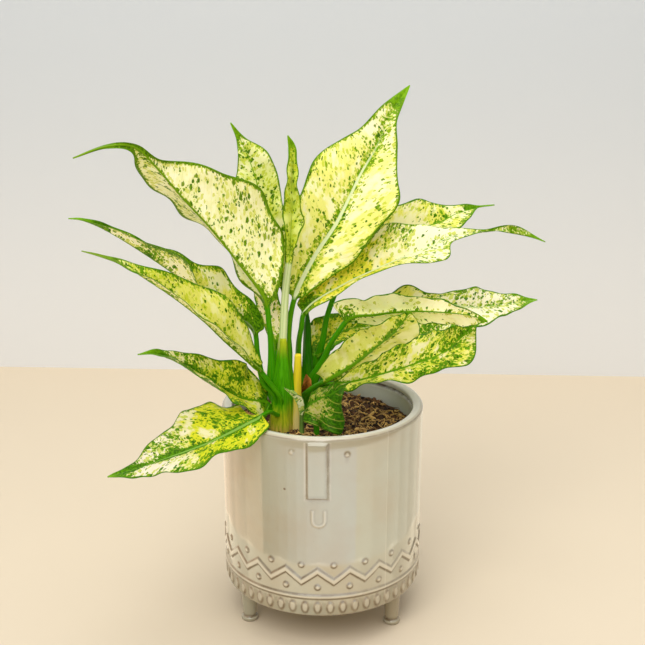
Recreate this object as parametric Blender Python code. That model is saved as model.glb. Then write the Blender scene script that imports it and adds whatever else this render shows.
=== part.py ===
# Potted chinese evergreen in a footed stoneware planter, in metres, +Z up.
# The origin is on the surface it stands on, under the planter's axis; the planter's front faces -Y.
# Sizes below are in millimetres and become metres where the meshes are made.
import math

import bmesh
import bpy
from mathutils import Vector

MM = 0.001
GAP = 0.3                      # clearance between pieces that touch

# Planter: a turned body on three feet
LEG_HEIGHT = 26.0
BODY_HEIGHT = 129.5
RIM_RADIUS = 70.0
INNER_RADIUS = 62.6
WAIST_RADIUS = 69.2            # outer radius just above the ridge
BASE_RADIUS = 68.9
FLOOR_THICKNESS = 7.0
FLOOR_CORNER = 5.0             # radius between wall and floor, inside
RIM_ROUNDING = 2.6             # height of the rounded rim
RIDGE_HEIGHT = 15.7            # the ridge line above the body's underside
RIDGE_PROUD = 0.8
LEG_COUNT = 3
LEG_CIRCLE = 58.2
FIRST_LEG_ANGLE = 90.0         # degrees from +X, the leg at the back
LEG_TOP_RADIUS = 5.2
LEG_NECK_RADIUS = 3.4
FOOT_RADIUS = 5.5
FOOT_THICKNESS = 4.0
RIM_TOP = LEG_HEIGHT + BODY_HEIGHT
PLANTER_STEPS = 64

# The simple face in relief: a nose bar and two eye dots
NOSE_WIDTH = 14.0
NOSE_BOTTOM = 113.3
NOSE_PROUD = 2.4
NOSE_BEVEL = 1.4
EYE_ANGLE = 15.0
EYE_HEIGHT = 144.5
EYE_RADIUS = 1.7
EYE_PROUD = 1.0

# Potting mix and what is rooted in it
SOIL_TOP = 141.0
SOIL_EDGE_DROP = 1.5
ROOT_DEPTH = 13.0              # how far shoots and stalks reach into the mix
SHOOT_BASE_RADIUS = 6.0
SHOOT_WAIST = 146.0            # height where a shoot starts to taper
SHOOT_SHOULDER = 160.0
SHOOT_SHOULDER_RADIUS = 3.0
SHOOT_TOP = 170.0
SHOOT_TOP_RADIUS = 2.5
SHOOTS = {"left_shoot": (-28.0, -16.0), "right_shoot": (-11.0, 9.0)}
CUT_STALK_AT = (-16.5, -13.0)
CUT_STALK_RADIUS = 2.2
CUT_STALK_TOP = 194.0

# Leaves
PETIOLE_RADIUS = 1.8
PETIOLE_RISE = 9.0             # a petiole follows its shoot this far before it leaves it
EDGE_THICKNESS = 0.45
RIB_THICKNESS = 1.1
TIP_RIB_THICKNESS = 0.6
SAMPLES_PER_SPAN = 3           # stations between two rows of a leaf's table
LOBE_REACH = 0.25              # the part of the blade over which the base lobes fade out

# Each leaf: where its petiole starts (a shoot with a direction in degrees from +X and a height,
# or a point in the potting mix), the points the petiole passes, the way the upper side looks,
# and the blade from base to tip: midrib x, y, z, then half width and lift in degrees, left and right.
# The dry sheath, what is left of a shed leaf, is shaped the same way.
LEAVES = {
    "leaf_upper_left": {
        "shoot": "left_shoot", "side": 172, "height": 160,
        "petiole": [(-34, -15, 193), (-35, -17, 215)],
        "face": (0, 0.95, -0.15), "lobe": 4,
        "blade": [(-38, -20, 235, 8, 10, 6, 60), (-54, -26, 260, 36, 8, 20, 75),
                  (-70, -31, 283, 39, 5, 24, 72), (-86, -38, 304, 30, 5, 22, 62),
                  (-101, -47, 326, 8, 10, 15, 25), (-112, -57, 340, 3, 10, 6, 10),
                  (-127, -69, 342, 2, 10, 2, 10), (-144, -83, 337, 0.4, 0, 0.4, 0)]},
    "leaf_back_left": {
        "shoot": "left_shoot", "side": 62, "height": 160,
        "petiole": [(-23, 0, 190), (-25, 6, 212)],
        "face": (0.1, -0.95, 0.25), "lobe": 4,
        "blade": [(-28, 10, 240, 4, 10, 4, 10), (-33, 14, 263, 16, 10, 11, 10),
                  (-43, 20, 296, 20, 12, 14, 12), (-50, 25, 317, 10, 12, 15, 12),
                  (-57, 29, 332, 3, 12, 4, 12), (-64, 31, 344, 0.4, 0, 0.4, 0)]},
    "leaf_spear": {
        "shoot": "left_shoot", "side": 0, "height": None,
        "petiole": [(-26, -15, 204), (-24, -13, 239)],
        "face": (0, -1, 0.1), "lobe": 0,
        "blade": [(-21, -12, 264, 4, 50, 4, 50), (-20, -11, 283, 8, 60, 10, 40),
                  (-19, -11, 298, 9, 55, 9, 50), (-19, -9, 312, 8, 60, 7, 60),
                  (-19, -9, 325, 4, 60, 4, 50), (-20, -9, 333, 2, 30, 4, 30),
                  (-22, -9, 341, 0.4, 0, 0.4, 0)]},
    "leaf_top": {
        "shoot": "left_shoot", "side": 8, "height": 160,
        "petiole": [(-23, -9, 190), (-22, -3, 215)],
        "face": (0, -0.9, 0.45), "lobe": 4,
        "blade": [(-17, 1, 235, 5, 10, 5, 10), (-5, 9, 258, 24, 12, 22, 12),
                  (8, 16, 277, 31, 12, 27, 12), (18, 25, 296, 32, 12, 33, 12),
                  (25, 32, 310, 31, 12, 30, 14), (36, 43, 328, 18, 14, 15, 16),
                  (44, 54, 347, 9, 14, 7, 16), (58, 69, 366, 0.4, 0, 0.4, 0)]},
    "leaf_right_back": {
        "shoot": "right_shoot", "side": 75, "height": 160,
        "petiole": [(-5, 20, 185), (-1, 24, 201), (8, 30, 227)],
        "face": (-0.1, -0.5, 0.85), "lobe": 4,
        "blade": [(17, 37, 245, 5, 20, 18, -30), (34, 48, 257, 20, 30, 28, -20),
                  (59, 61, 263, 22, 30, 24, 0), (81, 71, 268, 19, 30, 17, 5),
                  (95, 80, 273, 8, 20, 12, 10), (110, 88, 276, 2, 10, 2, 10),
                  (123, 94, 277, 0.4, 0, 0.4, 0)]},
    "leaf_long_right": {
        "shoot": "right_shoot", "side": 195, "height": 160,
        "petiole": [(-17, 5, 190), (-15, 1, 206)],
        "face": (-0.2, -0.4, 0.9), "lobe": 4,
        "blade": [(-10, 1, 223, 8, 20, 6, 10), (14, 5, 238, 19, 35, 9, 20),
                  (32, 10, 246, 17, 30, 9, 20), (51, 14, 254, 27, 30, 12, 15),
                  (68, 19, 260, 22, 25, 17, 5), (78, 22, 264, 18, 25, 19, 0),
                  (87, 24, 268, 9, 20, 6, 0), (109, 29, 271, 2, 20, 2.5, 0),
                  (132, 34, 271, 3, 20, 2.5, 0), (154, 39, 262, 0.4, 0, 0.4, 0)]},
    "leaf_right_front": {
        "shoot": "right_shoot", "side": 318, "height": 160,
        "petiole": [(0, 1, 183), (5, -5, 197), (10, -10, 207)],
        "face": (0.1, 0.9, 0.35), "lobe": 3,
        "blade": [(20, -15, 221, 6, 5, 15, 0), (36, -24, 226, 13, 10, 14, 0),
                  (50, -34, 231, 11, 10, 15, 0), (68, -45, 235, 12, 10, 11, 5),
                  (88, -56, 237, 12, 5, 6, 10), (97, -61, 237, 8, 5, 3, 10),
                  (106, -66, 235, 0.4, 0, 0.4, 0)]},
    "leaf_right_mid": {
        "shoot": "right_shoot", "side": 20, "height": 160,
        "petiole": [(5, 22, 178), (23, 36, 190)],
        "face": (-0.2, -0.5, 0.85), "lobe": 4,
        "blade": [(41, 39, 209, 6, 20, 8, 10), (59, 40, 216, 13, 30, 20, 0),
                  (75, 44, 216, 6, 25, 24, 0), (92, 50, 212, 11, 25, 23, 0),
                  (110, 55, 209, 15, 30, 19, 0), (133, 63, 210, 9, 20, 9, 0),
                  (155, 71, 211, 0.4, 0, 0.4, 0)]},
    "leaf_low_right": {
        "shoot": "right_shoot", "side": 300, "height": 148,
        "petiole": [(1, -13, 171)],
        "face": (0, -0.2, 1), "lobe": 4,
        "blade": [(10, -22, 176, 5, 20, 5, 10), (23, -25, 179, 12, 30, 10, 10),
                  (39, -28, 185, 17, 30, 12, 0), (59, -31, 193, 24, 30, 14, -10),
                  (78, -34, 202, 20, 30, 15, -20), (89, -37, 212, 12, 30, 20, -30),
                  (96, -39, 220, 6, 30, 10, -40), (102, -40, 226, 0.4, 0, 0.4, 0)]},
    "leaf_low_back": {
        "shoot": "right_shoot", "side": 345, "height": 150,
        "petiole": [(4, -1, 180)],
        "face": (0, -0.3, 1), "lobe": 4,
        "blade": [(15, -5, 190, 5, 20, 5, 10), (42, -2, 197, 13, 25, 14, 0),
                  (65, 3, 201, 13, 30, 14, 0), (80, 7, 201, 14, 30, 12, 0),
                  (94, 10, 204, 8, 20, 8, 0), (108, 14, 209, 0.4, 0, 0.4, 0)]},
    "leaf_yellow_front": {
        "shoot": "right_shoot", "side": 262, "height": 148,
        "petiole": [(-4, -12, 170)],
        "face": (-0.1, 0.9, 0.2), "lobe": 4,
        "blade": [(7, -30, 183, 3, 10, 10, 5), (21, -36, 194, 5, 20, 16, 5),
                  (38, -44, 211, 11, 20, 17, 0), (48, -50, 222, 15, 10, 12, 0),
                  (54, -53, 231, 12, 0, 6, 0), (58, -55, 238, 0.4, 0, 0.4, 0)]},
    "leaf_inner_yellow": {
        "shoot": "right_shoot", "side": 0, "height": None,
        "petiole": [(-8, 10, 179)],
        "face": (-0.2, -0.5, 0.85), "lobe": 4,
        "blade": [(-5, 10, 188, 8, 20, 5, 10), (3, 14, 195, 18, 30, 10, 10),
                  (17, 19, 202, 13, 30, 10, 0), (33, 22, 204, 5, 20, 6, 0),
                  (47, 24, 208, 0.4, 0, 0.4, 0)]},
    "leaf_crumpled": {
        "root": (-3, -24), "petiole": [(-5, -27, 153)],
        "face": (-0.2, 0.1, 1), "lobe": 2,
        "blade": [(-7, -32, 164, 6, 30, 9, -40), (0, -37, 171, 8, 40, 22, -60),
                  (10, -43, 178, 8, 30, 26, -62), (20, -47, 187, 0.4, 0, 0.4, 0)]},
    "leaf_low_left": {
        "shoot": "left_shoot", "side": 205, "height": 148,
        "petiole": [],
        "face": (0, -0.2, 1), "lobe": 2,
        "blade": [(-38, -24, 163, 6, 20, 8, 50), (-55, -34, 170, 20, 20, 24, 55),
                  (-74, -43, 185, 16, 22, 16, 50), (-91, -51, 200, 8, 22, 8, 40),
                  (-105, -58, 208, 3, 10, 3, 20), (-115, -63, 209, 0.4, 0, 0.4, 0)]},
    "leaf_over_rim": {
        "shoot": "left_shoot", "side": 255, "height": 145,
        "petiole": [(-34, -35, 160)],
        "face": (-0.1, -0.4, 0.9), "lobe": 4,
        "blade": [(-40, -52, 162, 13, -15, 8, 10), (-56, -64, 157, 16, -5, 29, 10),
                  (-71, -72, 152, 17, 10, 31, 10), (-85, -77, 148, 21, 10, 26, 10),
                  (-101, -80, 143, 15, 10, 17, 10), (-116, -82, 138, 9, 10, 6, 10),
                  (-134, -84, 133, 0.4, 0, 0.4, 0)]},
    "leaf_left_high": {
        "shoot": "left_shoot", "side": 222, "height": 160,
        "petiole": [(-39, -21, 177), (-43, -17, 194)],
        "face": (0, -0.2, 1), "lobe": 4,
        "blade": [(-46, -14, 212, 4, 18, 6, 50), (-60, -17, 223, 9, 19, 21, 60),
                  (-77, -24, 238, 12, 19, 25, 55), (-97, -33, 257, 12, 19, 13, 50),
                  (-118, -43, 275, 8, 19, 8, 50), (-135, -51, 288, 4, 10, 6, 40),
                  (-146, -59, 295, 2, 0, 2, 20), (-154, -63, 297, 0.4, 0, 0.4, 0)]},
    "leaf_left_mid": {
        "shoot": "left_shoot", "side": 268, "height": 158,
        "petiole": [(-35, -25, 178)],
        "face": (0, -0.2, 1), "lobe": 4,
        "blade": [(-43, -30, 191, 5, 15, 6, 50), (-61, -42, 213, 16, 17, 20, 55),
                  (-73, -49, 228, 16, 17, 21, 55), (-88, -58, 244, 14, 17, 15, 50),
                  (-103, -67, 258, 9, 17, 9, 50), (-121, -77, 273, 4, 10, 3, 30),
                  (-141, -86, 282, 0.4, 0, 0.4, 0)]},
    "leaf_behind": {
        "shoot": "left_shoot", "side": 117, "height": 160,
        "petiole": [(-31, -6, 183)],
        "face": (0.2, 0.9, 0.4), "lobe": 4,
        "blade": [(-32, -3, 198, 4, 10, 4, 10), (-37, 2, 216, 10, 10, 8, 10),
                  (-42, 7, 232, 11, 10, 9, 10), (-50, 13, 246, 8, 10, 6, 10),
                  (-59, 17, 257, 0.4, 0, 0.4, 0)]},
    "dry_sheath": {
        "shoot": "right_shoot", "side": 230, "height": 150,
        "petiole": [],
        "face": (0, -1, 0.2), "lobe": 0,
        "blade": [(-14, 1, 165, 2.5, 30, 2.5, 30), (-13, -1, 171, 2.2, 30, 2.2, 30),
                  (-12, -2, 176, 0.4, 0, 0.4, 0)]},
    "leaf_baby": {
        "root": (-13, -23), "petiole": [],
        "face": (0.3, 0, 1), "lobe": 0,
        "blade": [(-15, -28, 160, 2, 10, 2, 10), (-18, -35, 170, 4, 10, 4, 10),
                  (-23, -41, 180, 0.4, 0, 0.4, 0)]},
}

# Finishes: colour, roughness
GLAZE = ((0.62, 0.58, 0.49), 0.28)
SOIL = ((0.07, 0.04, 0.025), 0.95)
STEM_GREEN = ((0.07, 0.25, 0.03), 0.4)
STALK_YELLOW = ((0.70, 0.60, 0.05), 0.5)
LEAF_GREEN = ((0.55, 0.62, 0.18), 0.4)
DRY_BROWN = ((0.25, 0.12, 0.05), 0.8)


def clear_scene():
    for obj in list(bpy.data.objects):
        bpy.data.objects.remove(obj, do_unlink=True)


def material(name, finish):
    colour, roughness = finish
    mat = bpy.data.materials.new(name)
    mat.use_nodes = True
    shader = mat.node_tree.nodes["Principled BSDF"]
    shader.inputs["Base Color"].default_value = (*colour, 1.0)
    shader.inputs["Roughness"].default_value = roughness
    shader.inputs["Metallic"].default_value = 0.0
    return mat


def add_object(name, mesh, finish=None):
    obj = bpy.data.objects.new(name, mesh)
    bpy.context.scene.collection.objects.link(obj)
    if finish:
        mesh.materials.append(material(name, finish))
    return obj


def turned(name, profile, steps, finish=None, smooth=True):
    """A profile of (radius, height) in mm, down its outer side, turned round the Z axis."""
    mesh = bpy.data.meshes.new(name)
    points = [(r * MM, 0, z * MM) for r, z in profile]
    mesh.from_pydata(points, [(i, i + 1) for i in range(len(points) - 1)], [])
    obj = add_object(name, mesh, finish)
    screw = obj.modifiers.new("turn", "SCREW")
    screw.steps = steps
    screw.render_steps = steps
    screw.use_merge_vertices = True
    screw.merge_threshold = 0.00001
    screw.use_smooth_shade = smooth
    return obj


def helper(obj):
    obj.hide_render = True
    obj.display_type = "WIRE"
    return obj


def boolean(target, other, operation):
    mod = target.modifiers.new(operation.lower(), "BOOLEAN")
    mod.operation = operation
    mod.solver = "EXACT"
    mod.object = helper(other)


def ellipse_arc(centre, radii, start, stop, count):
    """Points from one angle to another, in degrees, on an ellipse in the profile plane."""
    points = []
    for i in range(count + 1):
        a = math.radians(start + (stop - start) * i / count)
        points.append((centre[0] + radii[0] * math.cos(a), centre[1] + radii[1] * math.sin(a)))
    return points


def planter_profile():
    rim_half = (RIM_RADIUS - INNER_RADIUS) / 2
    floor_top = LEG_HEIGHT + FLOOR_THICKNESS
    ridge = LEG_HEIGHT + RIDGE_HEIGHT
    corner = FLOOR_CORNER
    inside = [(0, floor_top)]
    inside += ellipse_arc((INNER_RADIUS - corner, floor_top + corner), (corner, corner), -90, 0, 3)
    rim = ellipse_arc((RIM_RADIUS - rim_half, RIM_TOP - RIM_ROUNDING), (rim_half, RIM_ROUNDING), 180, 0, 6)
    outside = [(WAIST_RADIUS, ridge + 3), (WAIST_RADIUS, ridge + 1.6),
               (WAIST_RADIUS + RIDGE_PROUD, ridge), (WAIST_RADIUS, ridge - 1.6),
               (BASE_RADIUS, LEG_HEIGHT + 1.5), (BASE_RADIUS - 1.5, LEG_HEIGHT), (0, LEG_HEIGHT)]
    return inside + rim + outside


def leg_profile():
    neck = FOOT_THICKNESS + 1.2
    return [(0, LEG_HEIGHT + 2), (LEG_TOP_RADIUS, LEG_HEIGHT + 2), (LEG_TOP_RADIUS, LEG_HEIGHT - 1),
            (LEG_NECK_RADIUS + 0.5, neck + 1.4), (LEG_NECK_RADIUS, neck), (FOOT_RADIUS - 0.4, FOOT_THICKNESS),
            (FOOT_RADIUS, FOOT_THICKNESS - 1.2), (FOOT_RADIUS - 0.3, 0.6), (FOOT_RADIUS - 0.9, 0), (0, 0)]


def box(name, low, high, bevel):
    mesh = bpy.data.meshes.new(name)
    bm = bmesh.new()
    bmesh.ops.create_cube(bm, size=1.0)
    for v in bm.verts:
        for axis in range(3):
            middle = (low[axis] + high[axis]) / 2
            v.co[axis] = (middle + v.co[axis] * (high[axis] - low[axis])) * MM
    bm.to_mesh(mesh)
    bm.free()
    obj = add_object(name, mesh)
    mod = obj.modifiers.new("bevel", "BEVEL")
    mod.width = bevel * MM
    mod.segments = 2
    return obj


def make_planter():
    """The fired body: wall, floor, rim, three legs and the face, all one piece of stoneware."""
    planter = turned("planter", planter_profile(), PLANTER_STEPS, GLAZE)
    for i in range(LEG_COUNT):
        a = math.radians(FIRST_LEG_ANGLE + 360 / LEG_COUNT * i)
        leg = turned("leg_shape_%d" % i, leg_profile(), 16)
        leg.location = (LEG_CIRCLE * MM * math.cos(a), LEG_CIRCLE * MM * math.sin(a), 0)
        boolean(planter, leg, "UNION")
    nose = box("nose_shape", (-NOSE_WIDTH / 2, -RIM_RADIUS - NOSE_PROUD, NOSE_BOTTOM),
               (NOSE_WIDTH / 2, -RIM_RADIUS + 4, RIM_TOP - 3), NOSE_BEVEL)
    boolean(planter, nose, "UNION")
    for side in (-1, 1):
        a = math.radians(EYE_ANGLE * side)
        eye = turned("eye_shape_%s" % ("left" if side < 0 else "right"),
                     [(0, EYE_PROUD), (EYE_RADIUS * 0.7, EYE_PROUD * 0.7), (EYE_RADIUS, 0),
                      (EYE_RADIUS, -2), (0, -2)], 10)
        reach = RIM_RADIUS * MM
        eye.location = (reach * math.sin(a), -reach * math.cos(a), EYE_HEIGHT * MM)
        eye.rotation_euler = (math.radians(90), 0, a)
        boolean(planter, eye, "UNION")


def shoot_radius(z):
    if z <= SHOOT_WAIST:
        return SHOOT_BASE_RADIUS
    if z <= SHOOT_SHOULDER:
        part = (z - SHOOT_WAIST) / (SHOOT_SHOULDER - SHOOT_WAIST)
        return SHOOT_BASE_RADIUS + (SHOOT_SHOULDER_RADIUS - SHOOT_BASE_RADIUS) * part
    part = min(1, (z - SHOOT_SHOULDER) / (SHOOT_TOP - SHOOT_SHOULDER))
    return SHOOT_SHOULDER_RADIUS + (SHOOT_TOP_RADIUS - SHOOT_SHOULDER_RADIUS) * part


def make_shoot(name, at):
    bottom = SOIL_TOP - ROOT_DEPTH
    heights = (SHOOT_TOP, SHOOT_SHOULDER, SHOOT_WAIST, bottom)
    profile = [(0, SHOOT_TOP)] + [(shoot_radius(z), z) for z in heights] + [(0, bottom)]
    shoot = turned(name, profile, 14, STEM_GREEN)
    shoot.location = (at[0] * MM, at[1] * MM, 0)


def make_cut_stalk():
    bottom = SOIL_TOP - ROOT_DEPTH
    r = CUT_STALK_RADIUS
    profile = [(0, CUT_STALK_TOP), (r * 0.9, CUT_STALK_TOP), (r, CUT_STALK_TOP - 2),
               (r * 1.05, SOIL_TOP), (r * 1.05, bottom), (0, bottom)]
    stalk = turned("cut_stalk", profile, 12, STALK_YELLOW)
    stalk.location = (CUT_STALK_AT[0] * MM, CUT_STALK_AT[1] * MM, 0)


def make_potting_mix():
    """Fills the planter to a little under the rim, with a pocket for each rooted piece."""
    radius = INNER_RADIUS - GAP
    bottom = LEG_HEIGHT + FLOOR_THICKNESS + GAP
    corner = FLOOR_CORNER
    profile = [(0, SOIL_TOP), (radius * 0.8, SOIL_TOP), (radius, SOIL_TOP - SOIL_EDGE_DROP)]
    profile += ellipse_arc((radius - corner, bottom + corner), (corner, corner), 0, -90, 3)
    mix = turned("potting_mix", profile + [(0, bottom)], 40, SOIL)
    pockets = [(at, SHOOT_BASE_RADIUS, 14) for at in SHOOTS.values()]
    pockets.append((CUT_STALK_AT, CUT_STALK_RADIUS * 1.05, 12))
    pockets += [(leaf["root"], PETIOLE_RADIUS, 8) for leaf in LEAVES.values() if "root" in leaf]
    for i, (at, r, steps) in enumerate(pockets):
        floor = SOIL_TOP - ROOT_DEPTH - GAP
        top = SOIL_TOP + 5
        cutter = turned("pocket_%d" % i, [(0, top), (r + GAP, top), (r + GAP, floor), (0, floor)], steps)
        cutter.location = (at[0] * MM, at[1] * MM, 0)
        boolean(mix, cutter, "DIFFERENCE")


def curve_point(rows, t):
    """A smooth curve through the rows, at t from 0 to the last row's number."""
    i = min(int(t), len(rows) - 2)
    f = t - i
    p1, p2 = rows[i], rows[i + 1]
    p0 = rows[i - 1] if i > 0 else [2 * a - b for a, b in zip(p1, p2)]
    p3 = rows[i + 2] if i + 2 < len(rows) else [2 * b - a for a, b in zip(p1, p2)]
    return [0.5 * (2 * b + (c - a) * f + (2 * a - 5 * b + 4 * c - d) * f * f
                   + (3 * b - a - 3 * c + d) * f ** 3) for a, b, c, d in zip(p0, p1, p2, p3)]


def foot_points(leaf):
    """Where a petiole stands: beside its shoot, on the shoot's top, or in the potting mix."""
    if "root" in leaf:
        x, y = leaf["root"]
        return [(x, y, SOIL_TOP - ROOT_DEPTH), (x, y, SOIL_TOP - 3), (x, y, SOIL_TOP + 5)]
    x, y = SHOOTS[leaf["shoot"]]
    if leaf["height"] is None:
        return [(x, y, SHOOT_TOP + GAP), (x, y, SHOOT_TOP + GAP + 5)]
    a = math.radians(leaf["side"])
    points = []
    for z, spare in ((leaf["height"], 0), (leaf["height"] + PETIOLE_RISE, 0.4)):
        reach = shoot_radius(leaf["height"]) + GAP + PETIOLE_RADIUS + spare
        points.append((x + reach * math.cos(a), y + reach * math.sin(a), z))
    return points


def leaf_stations(leaf):
    """Centre, tangent, upper direction and cross-section of each station from foot to tip."""
    stalk = foot_points(leaf) + leaf["petiole"]
    blade = leaf["blade"]
    spine = stalk + [row[:3] for row in blade]
    last = len(spine) - 1
    count = last * SAMPLES_PER_SPAN
    stations = []
    for k in range(count + 1):
        t = last * k / count
        centre = Vector(curve_point(spine, t))
        ahead = Vector(curve_point(spine, min(last, t + 0.05)))
        behind = Vector(curve_point(spine, max(0, t - 0.05)))
        tangent = (ahead - behind).normalized()
        along = t - len(stalk)
        section = curve_point(blade, max(0, along))[3:] if along > -0.001 else None
        stations.append([centre, tangent, None, section, along / (len(blade) - 1)])
    face = Vector(leaf["face"])
    first_blade = next(k for k, s in enumerate(stations) if s[3])
    for s in stations[first_blade:]:
        s[2] = (face - s[1] * face.dot(s[1])).normalized()
    for k in range(first_blade - 1, -1, -1):
        upper, tangent = stations[k + 1][2], stations[k][1]
        stations[k][2] = (upper - tangent * upper.dot(tangent)).normalized()
    return stations


def station_ring(leaf, station):
    """Six points: over the top from the left edge to the right, and back underneath."""
    centre, tangent, upper, section, part = station
    side = tangent.cross(upper)
    if section is None:
        angles = [math.radians(a) for a in (150, 90, 30, -30, -90, -150)]
        return [centre + PETIOLE_RADIUS * (side * math.cos(a) + upper * math.sin(a)) for a in angles]
    left, left_lift, right, right_lift = section
    back = leaf["lobe"] * max(0, 1 - part / LOBE_REACH) ** 2
    rib = RIB_THICKNESS + (TIP_RIB_THICKNESS - RIB_THICKNESS) * part
    left_lift, right_lift = math.radians(left_lift), math.radians(right_lift)
    base = centre - back * tangent
    left_edge = base + left * (upper * math.sin(left_lift) - side * math.cos(left_lift))
    right_edge = base + right * (upper * math.sin(right_lift) + side * math.cos(right_lift))
    left_down = EDGE_THICKNESS * (upper * math.cos(left_lift) + side * math.sin(left_lift))
    right_down = EDGE_THICKNESS * (upper * math.cos(right_lift) - side * math.sin(right_lift))
    over = [left_edge, centre, right_edge]
    return over + [right_edge - right_down, centre - rib * upper, left_edge - left_down]


def make_leaf(name, leaf):
    """One grown piece: a round petiole that opens into a thin blade folded along its midrib."""
    rings = [station_ring(leaf, s) for s in leaf_stations(leaf)]
    bm = bmesh.new()
    rows = [[bm.verts.new(p * MM) for p in ring] for ring in rings]
    sides = len(rows[0])
    for a, b in zip(rows, rows[1:]):
        for j in range(sides):
            k = (j + 1) % sides
            # both sides of the blade are split along the same diagonals
            if j < 2:
                triangles = ((a[j], a[k], b[k]), (a[j], b[k], b[j]))
            else:
                triangles = ((a[j], a[k], b[j]), (a[k], b[k], b[j]))
            for triangle in triangles:
                bm.faces.new(triangle)
    bm.faces.new(list(reversed(rows[0])))
    bm.faces.new(rows[-1])
    bmesh.ops.recalc_face_normals(bm, faces=bm.faces)
    mesh = bpy.data.meshes.new(name)
    bm.to_mesh(mesh)
    bm.free()
    mesh.shade_smooth()
    mesh.set_sharp_from_angle(angle=math.radians(50))
    add_object(name, mesh, DRY_BROWN if name == "dry_sheath" else LEAF_GREEN)


def main():
    clear_scene()
    make_planter()
    make_potting_mix()
    for name, at in SHOOTS.items():
        make_shoot(name, at)
    make_cut_stalk()
    for name, leaf in LEAVES.items():
        make_leaf(name, leaf)


main()
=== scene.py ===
# Potted chinese evergreen: the looks of the plant, its potting mix and its glazed planter.
# Shapes are worked out in millimetres, as in the CAD, and become metres when a mesh is made.
import math
import random

import bpy
import numpy as np
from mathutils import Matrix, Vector, noise


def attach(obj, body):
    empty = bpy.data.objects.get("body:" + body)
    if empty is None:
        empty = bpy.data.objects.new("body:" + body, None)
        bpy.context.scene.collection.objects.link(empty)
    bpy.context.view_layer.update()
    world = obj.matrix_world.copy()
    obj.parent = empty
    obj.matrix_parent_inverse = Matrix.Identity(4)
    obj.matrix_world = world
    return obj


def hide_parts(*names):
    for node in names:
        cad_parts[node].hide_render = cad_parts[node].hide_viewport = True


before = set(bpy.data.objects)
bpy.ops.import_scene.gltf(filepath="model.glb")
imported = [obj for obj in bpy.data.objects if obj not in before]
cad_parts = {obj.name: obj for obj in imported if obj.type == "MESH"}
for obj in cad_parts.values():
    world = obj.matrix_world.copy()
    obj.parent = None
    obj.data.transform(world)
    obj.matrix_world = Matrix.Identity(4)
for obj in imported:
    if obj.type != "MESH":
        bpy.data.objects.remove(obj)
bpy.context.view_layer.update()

mm = 0.001
anyTurn = 6.28                          # the end of the range that random turns are drawn from
scene = bpy.context.scene


def smoothStep(low, high, x):
    t = np.clip((np.asarray(x, float) - low) / (high - low), 0, 1)
    return t * t * (3 - 2 * t)


def bell(x, width):
    return np.exp(-(np.asarray(x, float) / width) ** 2)


def srgb(*shades):
    return tuple(c / 255 / 12.92 if c <= 10 else ((c / 255 + 0.055) / 1.055) ** 2.4 for c in shades)


def circle(radius, z, sides, x=0.0, y=0.0):
    angles = [2 * math.pi * i / sides for i in range(sides)]
    return [(x + radius * math.cos(a), y + radius * math.sin(a), z) for a in angles]


def tubeFaces(rings, sides, base=0, flip=False):
    # quads from ring to ring, and a cap at each end
    faces = []
    for k in range(rings - 1):
        low, high = base + k * sides, base + (k + 1) * sides
        for i in range(sides):
            n = (i + 1) % sides
            quad = (low + i, low + n, high + n, high + i)
            faces.append((quad[1], quad[0], quad[3], quad[2]) if flip else quad)
    first = tuple(range(base, base + sides))
    last = tuple(range(base + (rings - 1) * sides, base + rings * sides))
    return faces + ([first, last[::-1]] if flip else [first[::-1], last])


def addObject(name, data):
    thing = bpy.data.objects.new(name, data)
    scene.collection.objects.link(thing)
    return thing


def makePiece(name, points, faces, material, replaced=None, attributes=None):
    mesh = bpy.data.meshes.new(name)
    mesh.from_pydata([tuple(p) for p in np.asarray(points) * mm], [], faces)
    mesh.validate()
    mesh.shade_smooth()
    mesh.materials.append(material)
    for key, values in (attributes or {}).items():
        layer = mesh.attributes.new(key, "FLOAT_VECTOR", "POINT")
        layer.data.foreach_set("vector", np.asarray(values, np.float32).ravel())
    piece = addObject(name, mesh)
    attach(piece, "root")
    if replaced:
        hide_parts(replaced)


# Node helpers

def feed(socket, value):
    if isinstance(value, Value):
        socket.id_data.links.new(value.socket, socket)
    else:
        socket.default_value = (*value, 1) if socket.type == "RGBA" else value


def newNode(tree, kind, inputs=(), **settings):
    # inputs pair a socket's name or number with what feeds it
    node = tree.nodes.new(kind)
    for key, value in settings.items():
        setattr(node, key, value)
    for key, value in dict(inputs).items():
        feed(node.inputs[key], value)
    return node


def nodeValue(tree, kind, inputs=(), out=0, **settings):
    return Value(newNode(tree, kind, inputs, **settings).outputs[out])


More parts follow.
